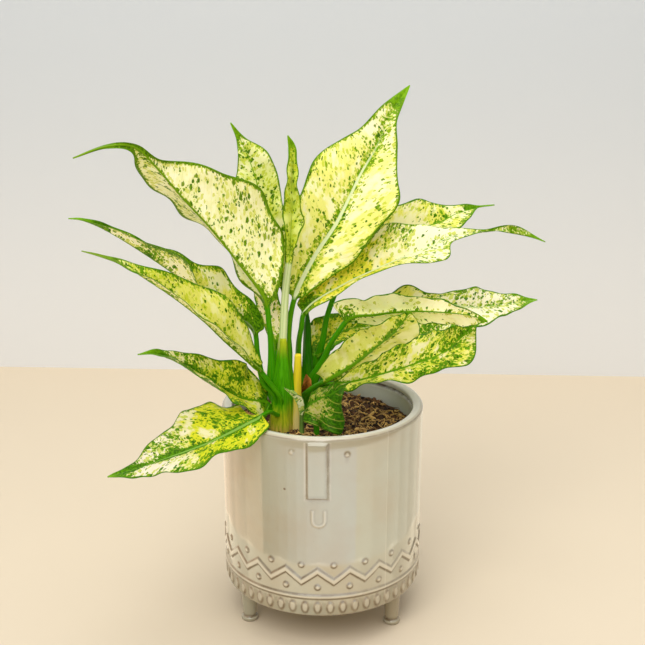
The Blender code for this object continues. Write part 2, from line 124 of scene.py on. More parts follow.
class Value:
    # an output socket; arithmetic on it adds nodes to its tree
    def __init__(self, socket):
        self.socket = socket
        self.tree = socket.id_data

    def maths(self, operation, *others, clamp=False):
        return nodeValue(self.tree, "ShaderNodeMath", enumerate((self, *others)), operation=operation,
                         use_clamp=clamp)

    def __add__(self, other):
        return self.maths("ADD", other)

    def __sub__(self, other):
        return self.maths("SUBTRACT", other)

    def __mul__(self, other):
        return self.maths("MULTIPLY", other)

    def __abs__(self):
        return self.maths("ABSOLUTE")

    def times(self, factor, plus):
        return self.maths("MULTIPLY_ADD", factor, plus)

    def orMore(self, other):
        return self.maths("MAXIMUM", other)

    def ramp(self, low, high, outLow=0.0, outHigh=1.0):
        inputs = {"Value": self, "From Min": low, "From Max": high, "To Min": outLow, "To Max": outHigh}
        return nodeValue(self.tree, "ShaderNodeMapRange", inputs, "Result", interpolation_type="SMOOTHSTEP")

    def split(self):
        return [Value(s) for s in newNode(self.tree, "ShaderNodeSeparateXYZ", {0: self}).outputs]

    def grain(self, scale, detail=3.0, roughness=0.5, out="Fac"):
        inputs = {"Vector": self, "Scale": scale, "Detail": detail, "Roughness": roughness}
        return nodeValue(self.tree, "ShaderNodeTexNoise", inputs, out)

    def vectorMaths(self, operation, *others, out="Vector"):
        return nodeValue(self.tree, "ShaderNodeVectorMath", enumerate((self, *others)), out,
                         operation=operation)


def mix(share, first, second):
    tree = next(v.tree for v in (share, first, second) if isinstance(v, Value))
    return nodeValue(tree, "ShaderNodeMix", {0: share, 6: first, 7: second}, 2, data_type="RGBA")


def join(x, y, z):
    return nodeValue(y.tree, "ShaderNodeCombineXYZ", enumerate((x, y, z)))


def newGroup(name, inputs, outputs):
    group = bpy.data.node_groups.new(name, "ShaderNodeTree")
    kinds = {"colour": "NodeSocketColor", "value": "NodeSocketFloat", "vector": "NodeSocketVector"}
    for label, (kind, default) in inputs.items():
        socket = group.interface.new_socket(label, in_out="INPUT", socket_type=kinds[kind])
        if default is not None:
            socket.default_value = (*default, 1) if kind == "colour" else default
    for label, kind in outputs.items():
        group.interface.new_socket(label, in_out="OUTPUT", socket_type=kinds[kind])
    given = {s.name: Value(s) for s in group.nodes.new("NodeGroupInput").outputs}
    return group, given, group.nodes.new("NodeGroupOutput").inputs


def placeGroup(tree, group, values):
    node = newNode(tree, "ShaderNodeGroup", values, node_tree=group)
    return {s.name: Value(s) for s in node.outputs}


def attribute(tree, name):
    return nodeValue(tree, "ShaderNodeAttribute", out="Vector", attribute_name=name)


def objectPlace(tree):
    return nodeValue(tree, "ShaderNodeTexCoord", out="Object")


def newMaterial(name, settings):
    material = bpy.data.materials.new(name)
    material.use_nodes = True
    shader = material.node_tree.nodes["Principled BSDF"].inputs
    for label, value in settings.items():
        feed(shader[label], value)
    return material, material.node_tree, shader


def addBump(shader, height, distance, strength=1.0):
    inputs = {"Distance": distance, "Strength": strength, "Height": height}
    feed(shader["Normal"], nodeValue(height.tree, "ShaderNodeBump", inputs, "Normal"))


# Camera and stage

camera = {
    "place": (0.0364, -0.7711, 0.447),
    "tilt": 73.1,
    "turn": 2.7,
    "lens": 65.86,
    "sensor": 36,
}

stageLook = {
    "floorColour": srgb(224, 208, 183),
    "floorFade": (0.9, 2.6),
    # painted light on the backdrop: paler low down, darker high up
    "wallLow": srgb(234, 234, 233),
    "wallHigh": srgb(209, 213, 216),
    "wallFade": 0.42,
    "wallSideFade": (0.45, 1.1),
    "wallDistance": 0.505,
    "wallSpan": (-0.01, 2.2),
    "size": 8.0,
}


def addCamera():
    data = bpy.data.cameras.new("camera")
    data.lens = camera["lens"]
    data.sensor_width = camera["sensor"]
    cam = addObject("camera", data)
    cam.location = camera["place"]
    cam.rotation_euler = (math.radians(camera["tilt"]), 0, math.radians(camera["turn"]))
    scene.camera = cam


def fadeOut(share):
    # share is how clear the sheet is to the camera
    tree = share.tree
    onCamera = nodeValue(tree, "ShaderNodeLightPath", out="Is Camera Ray")
    clear = nodeValue(tree, "ShaderNodeBsdfTransparent")
    sheet = Value(tree.nodes["Principled BSDF"].outputs[0])
    mixed = nodeValue(tree, "ShaderNodeMixShader", {0: share * onCamera, 1: sheet, 2: clear})
    feed(tree.nodes["Material Output"].inputs["Surface"], mixed)


def floorMaterial():
    # it fades into the room far from the plant
    material, tree, _ = newMaterial("floor", {"Base Color": stageLook["floorColour"], "Roughness": 0.6,
                                              "Specular IOR Level": 0.0})
    distance = objectPlace(tree).vectorMaths("LENGTH", out="Value")
    fadeOut(distance.ramp(*stageLook["floorFade"]))
    return material


def wallMaterial():
    # painted light: paler towards the floor and darker higher up; faded at its sides, and clear from behind
    # so that it never hides the plant
    material, tree, shader = newMaterial("backdrop", {"Roughness": 0.7})
    x, _, height = objectPlace(tree).split()
    share = height.ramp(0.0, stageLook["wallFade"])
    feed(shader["Base Color"], mix(share, stageLook["wallLow"], stageLook["wallHigh"]))
    behind = nodeValue(tree, "ShaderNodeNewGeometry", out="Backfacing")
    fadeOut(behind.orMore(abs(x).ramp(*stageLook["wallSideFade"])))
    return material


def addStage():
    half = stageLook["size"] / 2
    back = stageLook["wallDistance"]
    bottom, top = stageLook["wallSpan"]
    sheets = {
        "floor": ([(-half, -half, 0), (half, -half, 0), (half, half, 0), (-half, half, 0)], floorMaterial()),
        "backdrop": ([(-half, back, bottom), (half, back, bottom), (half, back, top), (-half, back, top)],
                     wallMaterial()),
    }
    for name, (corners, material) in sheets.items():
        mesh = bpy.data.meshes.new(name)
        mesh.from_pydata(corners, [], [(0, 1, 2, 3)])
        mesh.materials.append(material)
        addObject(name, mesh)


lights = {
    "keyLight": {"at": (-0.35, -1.3, 1.6), "size": (1.2, 1.2), "watts": 19, "colour": (1.0, 0.985, 0.96)},
    "fillLight": {"at": (0.1, -0.5, 1.1), "size": (1.4, 1.4), "watts": 3.0, "colour": (0.95, 0.98, 1.0)},
    "topLight": {"at": (0.1, 0.1, 1.6), "size": (1.2, 1.2), "watts": 10.5, "colour": (1.0, 1.0, 1.0)},
}
lightsAim = (0, 0, 0.2)
room = {"colour": (0.96, 0.98, 1.0), "strength": 0.45, "seen": 0.75}

# low cards in a ring round the planter, seen only in its gloss: warm at the left, cool in front, pale at the
# right, and a lower band that lights up the pattern; azimuths in degrees with 0 in front
cards = {
    "radius": 0.12,
    "bands": [
        {"edges": (-150, -130, -110, -90, -70, -50, -42, -34, -26, -18, -10,
                   0, 15, 30, 45, 60, 75, 90, 110, 130, 150),
         "glow": (0.3, 0.4, 0.7, 1.2, 1.6, 0.1, 0.3, 0.7, 1.3, 1.9, 2.4,
                  2.6, 2.7, 2.5, 2.1, 1.6, 1.0, 0.5, 0.3, 0.2),
         "span": (0.036, 0.126)},
        {"edges": (-150, -110, -70, -35, 0, 35, 70, 110, 150),
         "glow": (0.3, 0.9, 1.8, 2.3, 2.3, 1.9, 0.9, 0.3),
         "span": (0.001, 0.036), "tone": "low"},
    ],
    "warmUpTo": -50,
    "paleFrom": 30,
    "warm": (1.0, 0.68, 0.46),
    "cool": (0.78, 0.90, 1.0),
    "pale": (0.92, 0.94, 0.80),
    "low": (1.0, 0.88, 0.66),
}


def addLamp(name, at, size, watts, colour, target):
    data = bpy.data.lights.new(name, "AREA")
    data.shape = "RECTANGLE"
    data.size, data.size_y = size
    data.energy = watts
    data.color = colour
    lamp = addObject(name, data)
    lamp.location = at
    lamp.rotation_euler = (Vector(target) - lamp.location).to_track_quat("-Z", "Y").to_euler()
    lamp.visible_camera = False
    return lamp


def addCard(start, end, glow, span, tone=None):
    middle = (start + end) / 2
    if tone is None:
        tone = "warm" if middle < cards["warmUpTo"] else "pale" if middle > cards["paleFrom"] else "cool"
    a, radius, level = math.radians(middle), cards["radius"], sum(span) / 2
    width, height = 2 * radius * math.tan(math.radians(end - start) / 2), span[1] - span[0]
    card = addLamp("card", (radius * math.sin(a), -radius * math.cos(a), level), (width, height),
                   glow * math.pi * width * height, cards[tone], (0, 0, level))
    card.visible_diffuse = False


def addLights():
    for name, light in lights.items():
        addLamp(name, light["at"], light["size"], light["watts"], light["colour"], lightsAim)
    for band in cards["bands"]:
        for start, end, glow in zip(band["edges"], band["edges"][1:], band["glow"]):
            addCard(start, end, glow, band["span"], band.get("tone"))
    scene.world = bpy.data.worlds.new("room")
    scene.world.use_nodes = True
    tree = scene.world.node_tree
    background = tree.nodes["Background"].inputs
    feed(background["Color"], room["colour"])
    onCamera = nodeValue(tree, "ShaderNodeLightPath", out="Is Camera Ray")
    feed(background["Strength"], onCamera.times(room["seen"] - room["strength"], room["strength"]))


scene.view_settings.view_transform = "Standard"
addCamera()
addStage()
addLights()
print("camera, stage and lights placed")


# Leaf markings: cream blade, lime wash, green flecks along the side veins, margin, midrib and stalk

markingInputs = {
    "Place": ("vector", None),             # across -1..1, along 0..1 (stalk below 0), underside 0 or 1
    "Vein": ("vector", None),              # where the side vein starts, across, distance to the edge, in mm
    "Seed": ("value", 0.0),
    "Speckle": ("value", 0.2),
    "Margin": ("value", 0.5),
    "MarginReach": ("value", 5.0),
    "EdgeLine": ("value", 0.9),
    "RibFlecks": ("value", 0.4),
    "RibReach": ("value", 4.0),
    "RibLine": ("value", 0.8),
    "RibPale": ("value", 0.0),
    "BaseGreen": ("value", 0.12),
    "TipGreen": ("value", 0.12),
    "Wash": ("value", 0.3),
    "WashReach": ("value", 0.6),
    "Veins": ("value", 0.1),
    "RightGreenAndShade": ("value", 0.0),
    "UnderPaleAndGlow": ("value", 0.55),
    "TipTone": ("colour", (0.20, 0.42, 0.004)),
    "Cream": ("colour", (0.86, 0.81, 0.49)),
    "Yellow": ("colour", (0.76, 0.72, 0.12)),
    "Lime": ("colour", (0.50, 0.56, 0.016)),
    "Green": ("colour", (0.105, 0.28, 0.003)),
    "DarkGreen": ("colour", (0.026, 0.11, 0.001)),
    "PaleRib": ("colour", (0.70, 0.76, 0.40)),
    "StalkColour": ("colour", (0.035, 0.25, 0.001)),
}

markingLook = {
    "seedStep": 37.7,                   # how far apart the leaves' places in the noises are
    "fineScale": 0.58,
    "broadScale": 0.13,
    "cloudScale": 0.045,
    "driftScale": 0.55,
    "drift": 2.4,
    "smallDot": 1.9,
    "largeDot": 3.3,
    "paleDot": 2.7,
    "milkyAndLit": (1.0, 0.95, 0.62),
    "lineRate": 0.42,                   # fine lines in the side veins' direction
}


def scatterDots(place, size, share, smallest, spread):
    # irregular dots, one at most in each cell; share is how many of the cells hold one
    inputs = {"Vector": place, "Scale": 1 / size}
    cells = newNode(place.tree, "ShaderNodeTexVoronoi", inputs, voronoi_dimensions="2D")
    pick, grow, tint = Value(cells.outputs["Color"]).split()
    inside = grow.times(spread, smallest) - Value(cells.outputs["Distance"])
    held = (share - pick).ramp(-0.01, 0.01)
    return inside.ramp(-0.05, 0.07) * held, tint


def makeLeafMarking():
    group, given, out = newGroup("leafMarking", markingInputs,
                                 {"Colour": "colour", "Glow": "colour", "Height": "value"})
    look = markingLook
    across, along, under = given["Place"].split()
    start, side, edge = given["Vein"].split()
    offset = given["Seed"] * look["seedStep"]
    ribSide = abs(side)

    # noises over the blade in mm
    flat = join(ribSide.times(0.6, start) + offset, side, offset)
    fine = flat.grain(look["fineScale"], 3.0, 0.6)
    broad = flat.grain(look["broadScale"], 3.0, 0.55)
    cloud = flat.grain(look["cloudScale"], 2.0)
    drift = flat.grain(look["driftScale"], 2.0, out="Color")
    warped = drift.vectorMaths("MULTIPLY_ADD", (look["drift"], look["drift"], 0), flat)

    # how many flecks: more at the edge, the midrib, the tip and the base
    atEdge = edge.ramp(given["MarginReach"], 0.0)
    atRib = ribSide.ramp(given["RibReach"], 0.3)
    atTip = along.ramp(given["TipGreen"].times(-2.0, 1.0), 1.0)
    atBase = (along + abs(across) * 0.08).ramp(given["BaseGreen"], 0.0)
    density = given["Speckle"] * cloud.ramp(0.34, 0.64, 0.3, 1.8) + atEdge * given["Margin"]
    density = density + atRib * given["RibFlecks"] + atTip * 0.9 + atBase * 1.3
    # green over the right half, partly the leaf's own green and partly painted shade where that half hangs
    # down
    density = density + across.ramp(0.35, 0.8) * given["RightGreenAndShade"]

    dotted = density * broad.ramp(0.38, 0.62, 0.35, 1.9)
    small, smallTint = scatterDots(warped, look["smallDot"], dotted * 0.6, 0.22, 0.30)
    large, largeTint = scatterDots(warped, look["largeDot"], dotted * 0.65, 0.20, 0.34)
    pale, _ = scatterDots(warped, look["paleDot"], density.times(1.2, 0.05), 0.28, 0.40)
    over = fine * 0.72 + broad * 0.28 - density.times(-0.26, 0.70)
    patch = over.ramp(-0.012, 0.02)
    halo = over.ramp(-0.09, 0.01)

    # a yellow wash in soft clouds, strongest at the base; whitened undersides, partly their own paler colour
    # and partly painted light that lifts their shade; lime round the flecks
    wash = along.ramp(given["WashReach"], given["WashReach"] * 0.2) * given["Wash"]
    wash = wash.maths("MULTIPLY", (cloud + broad).ramp(0.8, 1.15, 0.25, 1.7), clamp=True)
    colour = mix(wash, given["Cream"], given["Yellow"])
    glowAndPaleUnder = under * given["UnderPaleAndGlow"]
    colour = mix(glowAndPaleUnder, colour, look["milkyAndLit"])
    colour = mix((halo * 0.75).orMore(pale * 0.8), colour, given["Lime"])

    # the flecks, with fine pale lines across them where the leaf has such veins
    tint = (small * smallTint).orMore(large * largeTint)
    flecks = small.orMore(large).orMore(patch)
    line = abs((start * look["lineRate"]).maths("SINE")).ramp(0.30, 0.0) * ribSide.ramp(0.5, 3.0)
    flecks = flecks * (line * given["Veins"]).times(-1.0, 1.0)
    olive = mix(0.45, given["Green"], given["Lime"])
    green = mix(fine.ramp(0.40, 0.62), given["DarkGreen"], given["Green"])
    onlyDot = tint.ramp(0.45, 0.95) * patch.times(-1.0, 1.0)
    green = mix(onlyDot * 0.75, green, olive)
    green = mix(atTip * 0.6, green, given["TipTone"])
    colour = mix(flecks, colour, green)

    # solid green line at the edge, uneven in width
    lineAt = (broad - 0.5).times(3.5, edge)
    width = given["EdgeLine"] * 0.8
    outline = mix(fine, given["DarkGreen"], given["Green"])
    outline = mix(atTip * 0.8, outline, given["TipTone"])
    colour = mix(lineAt.ramp(width * 1.3, width * 0.7), colour, outline)

    # the midrib: a green line, or a broad pale one that fades towards the tip
    ribHalf = given["RibLine"] * along.ramp(1.0, 0.0, 0.25, 1.0)
    onRib = ribSide.ramp(ribHalf * 1.25, ribHalf * 0.75)
    onRib = onRib * along.ramp(0.8, 0.55, given["RibPale"].times(-1.0, 1.0))
    colour = mix(onRib, colour, mix(given["RibPale"], given["Green"], given["PaleRib"]))

    # the stalk, streaked along its length
    streak = join(along * 1.5, across * 5.0, offset).grain(1.0, 2.0)
    stalk = mix(streak.ramp(0.35, 0.7, 0.0, 0.5), given["StalkColour"], given["Green"])
    colour = mix(fine.times(0.03, along).ramp(0.033, 0.010), colour, stalk)
    feed(out["Colour"], colour)
    # painted glow: the underside glows in its own colour, standing in for light that comes across the thin
    # blade
    feed(out["Glow"], mix(glowAndPaleUnder, (0, 0, 0), colour))
    feed(out["Height"], line.times(-0.4, fine * 0.5))
    return group


leafMarking = makeLeafMarking()

# Each leaf's own markings; what isn't named keeps the group's value
leafLooks = {
    "leaf_upper_left": {
        "Speckle": 0.22, "Margin": 1.3, "MarginReach": 4, "EdgeLine": 1.2, "RibFlecks": 0.5,
        "RibReach": 3.5, "RibLine": 1.5, "BaseGreen": 0.16, "TipGreen": 0.05, "Wash": 1.1,
        "Lime": (0.60, 0.62, 0.08), "Green": (0.15, 0.29, 0.004), "DarkGreen": (0.045, 0.13, 0.002),
        "WashReach": 1.6, "Cream": (0.86, 0.84, 0.56), "Yellow": (0.62, 0.64, 0.12),
        "TipTone": (0.22, 0.30, 0.02)},
    "leaf_back_left": {
        "Speckle": 0.16, "Margin": 0.35, "EdgeLine": 1.0, "TipGreen": 0.07, "Green": (0.16, 0.32, 0.003),
        "Wash": 0.6, "WashReach": 1.4, "RibFlecks": 0.25, "Yellow": (0.66, 0.72, 0.12)},
    "leaf_spear": {
        "Margin": 0.3, "MarginReach": 2, "EdgeLine": 0.8, "UnderPaleAndGlow": 0.0, "TipGreen": 0.14, "Wash": 0.9,
        "WashReach": 2.5, "StalkColour": (0.74, 0.80, 0.44), "BaseGreen": 0.02, "RibFlecks": 0.0,
        "RibLine": 0.3, "Cream": (0.86, 0.90, 0.28), "Yellow": (0.62, 0.72, 0.08),
        "Green": (0.22, 0.40, 0.01)},
    "leaf_top": {
        "Speckle": 0.11, "Margin": 0.7, "MarginReach": 4, "EdgeLine": 1.2, "RibFlecks": 0.65, "RibReach": 8,
        "RibLine": 1.5, "RibPale": 1.0, "TipGreen": 0.09, "Green": (0.17, 0.34, 0.003), "Wash": 1.0,
        "WashReach": 1.1, "BaseGreen": 0.06, "Cream": (0.93, 0.88, 0.55), "Yellow": (0.84, 0.80, 0.20)},
    "leaf_right_back": {"Speckle": 0.26, "EdgeLine": 1.2, "Wash": 1.0, "WashReach": 1.2},
    "leaf_long_right": {
        "Speckle": 0.28, "Margin": 0.35, "MarginReach": 2.5, "RibReach": 1.5, "EdgeLine": 0.35,
        "TipGreen": 0.055, "Green": (0.15, 0.32, 0.003), "BaseGreen": 0.18, "RibPale": 1.0,
        "RibFlecks": 0.2, "Wash": 1.6, "WashReach": 0.55, "Cream": (0.87, 0.82, 0.52),
        "Yellow": (0.76, 0.68, 0.05)},
    "leaf_right_front": {
        "TipGreen": 0.05, "Speckle": 0.05, "UnderPaleAndGlow": 0.4, "Margin": 0.2, "MarginReach": 2,
        "EdgeLine": 0.8, "RibFlecks": 0.35, "RibLine": 1.2, "Wash": 0.5, "WashReach": 1.6,
        "BaseGreen": 0.18, "Cream": (0.93, 0.89, 0.48), "Yellow": (0.78, 0.80, 0.16)},
    "leaf_right_mid": {
        "Speckle": 0.16, "Margin": 0.4, "EdgeLine": 1.1, "RibPale": 0.8, "TipGreen": 0.08, "Wash": 0.8,
        "Cream": (0.86, 0.80, 0.54)},
    "leaf_low_right": {
        "Speckle": 0.38, "Margin": 0.25, "RibFlecks": 0.3, "RibReach": 5, "RibLine": 1.1, "Wash": 1.5,
        "WashReach": 1.3, "BaseGreen": 0.14, "TipGreen": 0.0, "Cream": (0.86, 0.78, 0.50)},
    "leaf_low_back": {"Speckle": 0.5, "Margin": 0.4, "Wash": 0.6, "WashReach": 1.0},
    "leaf_yellow_front": {
        "UnderPaleAndGlow": 0.12, "TipGreen": 0.015, "Speckle": 0.03, "Margin": 0.15, "MarginReach": 2,
        "EdgeLine": 0.7, "RibFlecks": 0.8, "RibReach": 5, "RibLine": 1.7, "Wash": 0.9, "WashReach": 3.0,
        "BaseGreen": 0.08, "Cream": (0.82, 0.82, 0.34), "Yellow": (0.64, 0.68, 0.07)},
    "leaf_inner_yellow": {"Speckle": 0.4, "Wash": 1.0, "WashReach": 3.0, "Yellow": (0.68, 0.62, 0.05)},
    # its dark greens and the green right half are partly painted shade of the half that hangs down in front
    "leaf_crumpled": {
        "Speckle": 0.5, "Margin": 0.1, "EdgeLine": 0.4, "TipGreen": 0.34, "TipTone": (0.03, 0.13, 0.003),
        "Wash": 0.5, "WashReach": 2.5, "BaseGreen": 0.0, "Veins": 0.8, "RightGreenAndShade": 0.9,
        "Cream": (0.46, 0.40, 0.14), "Lime": (0.30, 0.34, 0.03), "Yellow": (0.30, 0.32, 0.05),
        "Green": (0.06, 0.19, 0.003), "DarkGreen": (0.014, 0.065, 0.002)},
    "leaf_low_left": {
        "Speckle": 0.42, "Margin": 0.3, "Wash": 1.4, "WashReach": 0.9, "BaseGreen": 0.14, "EdgeLine": 1.0,
        "Cream": (0.80, 0.72, 0.46), "Yellow": (0.76, 0.74, 0.05)},
    "leaf_over_rim": {
        "Speckle": 0.38, "Margin": 0.3, "MarginReach": 4, "EdgeLine": 1.1, "RibFlecks": 0.8, "RibLine": 1.0,
        "RibPale": 0.6, "TipGreen": 0.05, "BaseGreen": 0.06, "Wash": 1.9, "WashReach": 0.7,
        "PaleRib": (0.30, 0.50, 0.10), "Cream": (0.84, 0.75, 0.55), "Yellow": (0.66, 0.64, 0.02)},
    "leaf_left_high": {
        "Speckle": 0.34, "Margin": 0.6, "MarginReach": 7, "EdgeLine": 1.0, "TipGreen": 0.08, "Wash": 1.1,
        "Green": (0.13, 0.30, 0.003), "WashReach": 1.0, "BaseGreen": 0.24, "Cream": (0.86, 0.82, 0.54)},
    "leaf_left_mid": {
        "MarginReach": 6, "EdgeLine": 1.0, "Wash": 1.6, "Green": (0.13, 0.30, 0.003), "WashReach": 1.4,
        "Cream": (0.86, 0.82, 0.40), "Yellow": (0.72, 0.70, 0.12), "TipTone": (0.22, 0.30, 0.02)},
    "leaf_behind": {"Speckle": 0.35, "Wash": 0.2, "Cream": (0.78, 0.56, 0.28)},
    "leaf_baby": {
        "Speckle": 0.1, "Margin": 0.0, "EdgeLine": 0.25, "RibLine": 0.2, "Wash": 0.6, "WashReach": 2.0,
        "BaseGreen": 0.0, "TipGreen": 0.0, "StalkColour": (0.10, 0.16, 0.03), "Cream": (0.74, 0.78, 0.42),
        "Yellow": (0.52, 0.62, 0.22), "Green": (0.20, 0.42, 0.06)},
}

leafSkin = {
    "Roughness": 0.36,
    # painted glow on the undersides, at this strength
    "Emission Strength": 0.3,
    "Specular IOR Level": 0.12,
    "Specular Tint": (0.95, 1.0, 0.40),
    "Subsurface Weight": 0.08,
    "Subsurface Radius": (0.6, 1.0, 0.2),
    "Subsurface Scale": 0.0006,
}


def leafMaterial(name, seed):
    material, tree, shader = newMaterial(name + "_markings", leafSkin)
    marks = placeGroup(tree, leafMarking, {"Seed": float(seed), "Place": attribute(tree, "leafPlace"),
                                           "Vein": attribute(tree, "leafVein"), **leafLooks[name]})
    feed(shader["Base Color"], marks["Colour"])
    feed(shader["Emission Color"], marks["Glow"])
    addBump(shader, marks["Height"], 0.0005, 0.6)
    return material


dryLook = {
    "pale": srgb(206, 128, 34),
    "brown": srgb(142, 72, 6),
    "dark": srgb(72, 36, 6),
}


def dryMaterial():
    # papery, with fibres along it
    material, tree, shader = newMaterial("dry_paper", {"Roughness": 0.7})
    across, along, _ = attribute(tree, "leafPlace").split()
    fibre = join(across * 7.0, along, 0.0).grain(1.6)
    colour = mix(fibre.ramp(0.35, 0.65), dryLook["brown"], dryLook["pale"])
    colour = mix(objectPlace(tree).grain(260.0).ramp(0.5, 0.75), colour, dryLook["dark"])
    feed(shader["Base Color"], colour)
    addBump(shader, fibre, 0.0006)
    return material


# Leaves: the CAD's rows, read more finely

shoots = {"left_shoot": (-28.0, -16.0), "right_shoot": (-11.0, 9.0)}
shootShape = {"heights": (146.0, 160.0, 170.0), "radii": (6.0, 3.0, 2.5)}      # waist, shoulder and top
soilTop = 141.0
rootDepth = 13.0
touchGap = 0.3

leafShape = {
    "stalkRadius": 1.8,                 # the CAD's, which places the foot
    "stalkLook": 2.15,
    "stalkTopLook": 1.75,
    "stalkTurn": (172, 8),              # degrees round the stalk, from its left edge to its right one
    "channelDepth": 0.22,
    "channelSpread": 30,
    "sheathRun": 46.0,
    "sheathSpread": 1.1,
    "stalkRise": 9.0,
    "footShare": 0.3,                   # how far out of the shoot's middle the foot starts
    "edgeThickness": 0.35,
    "ribThickness": 2.4,
    "tipRibThickness": 0.5,
    "ribTaper": 1.3,
    "ribHalf": (0.5, 1.4),              # at the tip and at the base
    "ribGroove": 0.35,
    "lobe": 4,
    "lobeReach": 0.25,
    "foldHalf": 3.5,                    # how far from the midrib the two halves have turned apart
    "perSpan": 14,
    "stalkPerSpan": 8,
    "openingRows": 8,
    "across": 26,
    "edgeCrowding": 0.45,
    "camber": 0.07,
    "waves": (2.3, 3.4),                # fewest and most on a blade
    "waveDepth": 1.2,
    "waveLimit": 0.09,                  # share of the half width
    "calmUpTo": 0.12,
    "calmFrom": 0.8,
    "ragged": 0.03,
    "raggedWaves": 9.0,
    "veinSlope": 0.85,
    "veinCurve": 0.012,
    "veinSpacing": 7.5,
    "veinWidth": 0.35,
    "veinRelief": 0.16,
    "edgeFade": 2.5,
}

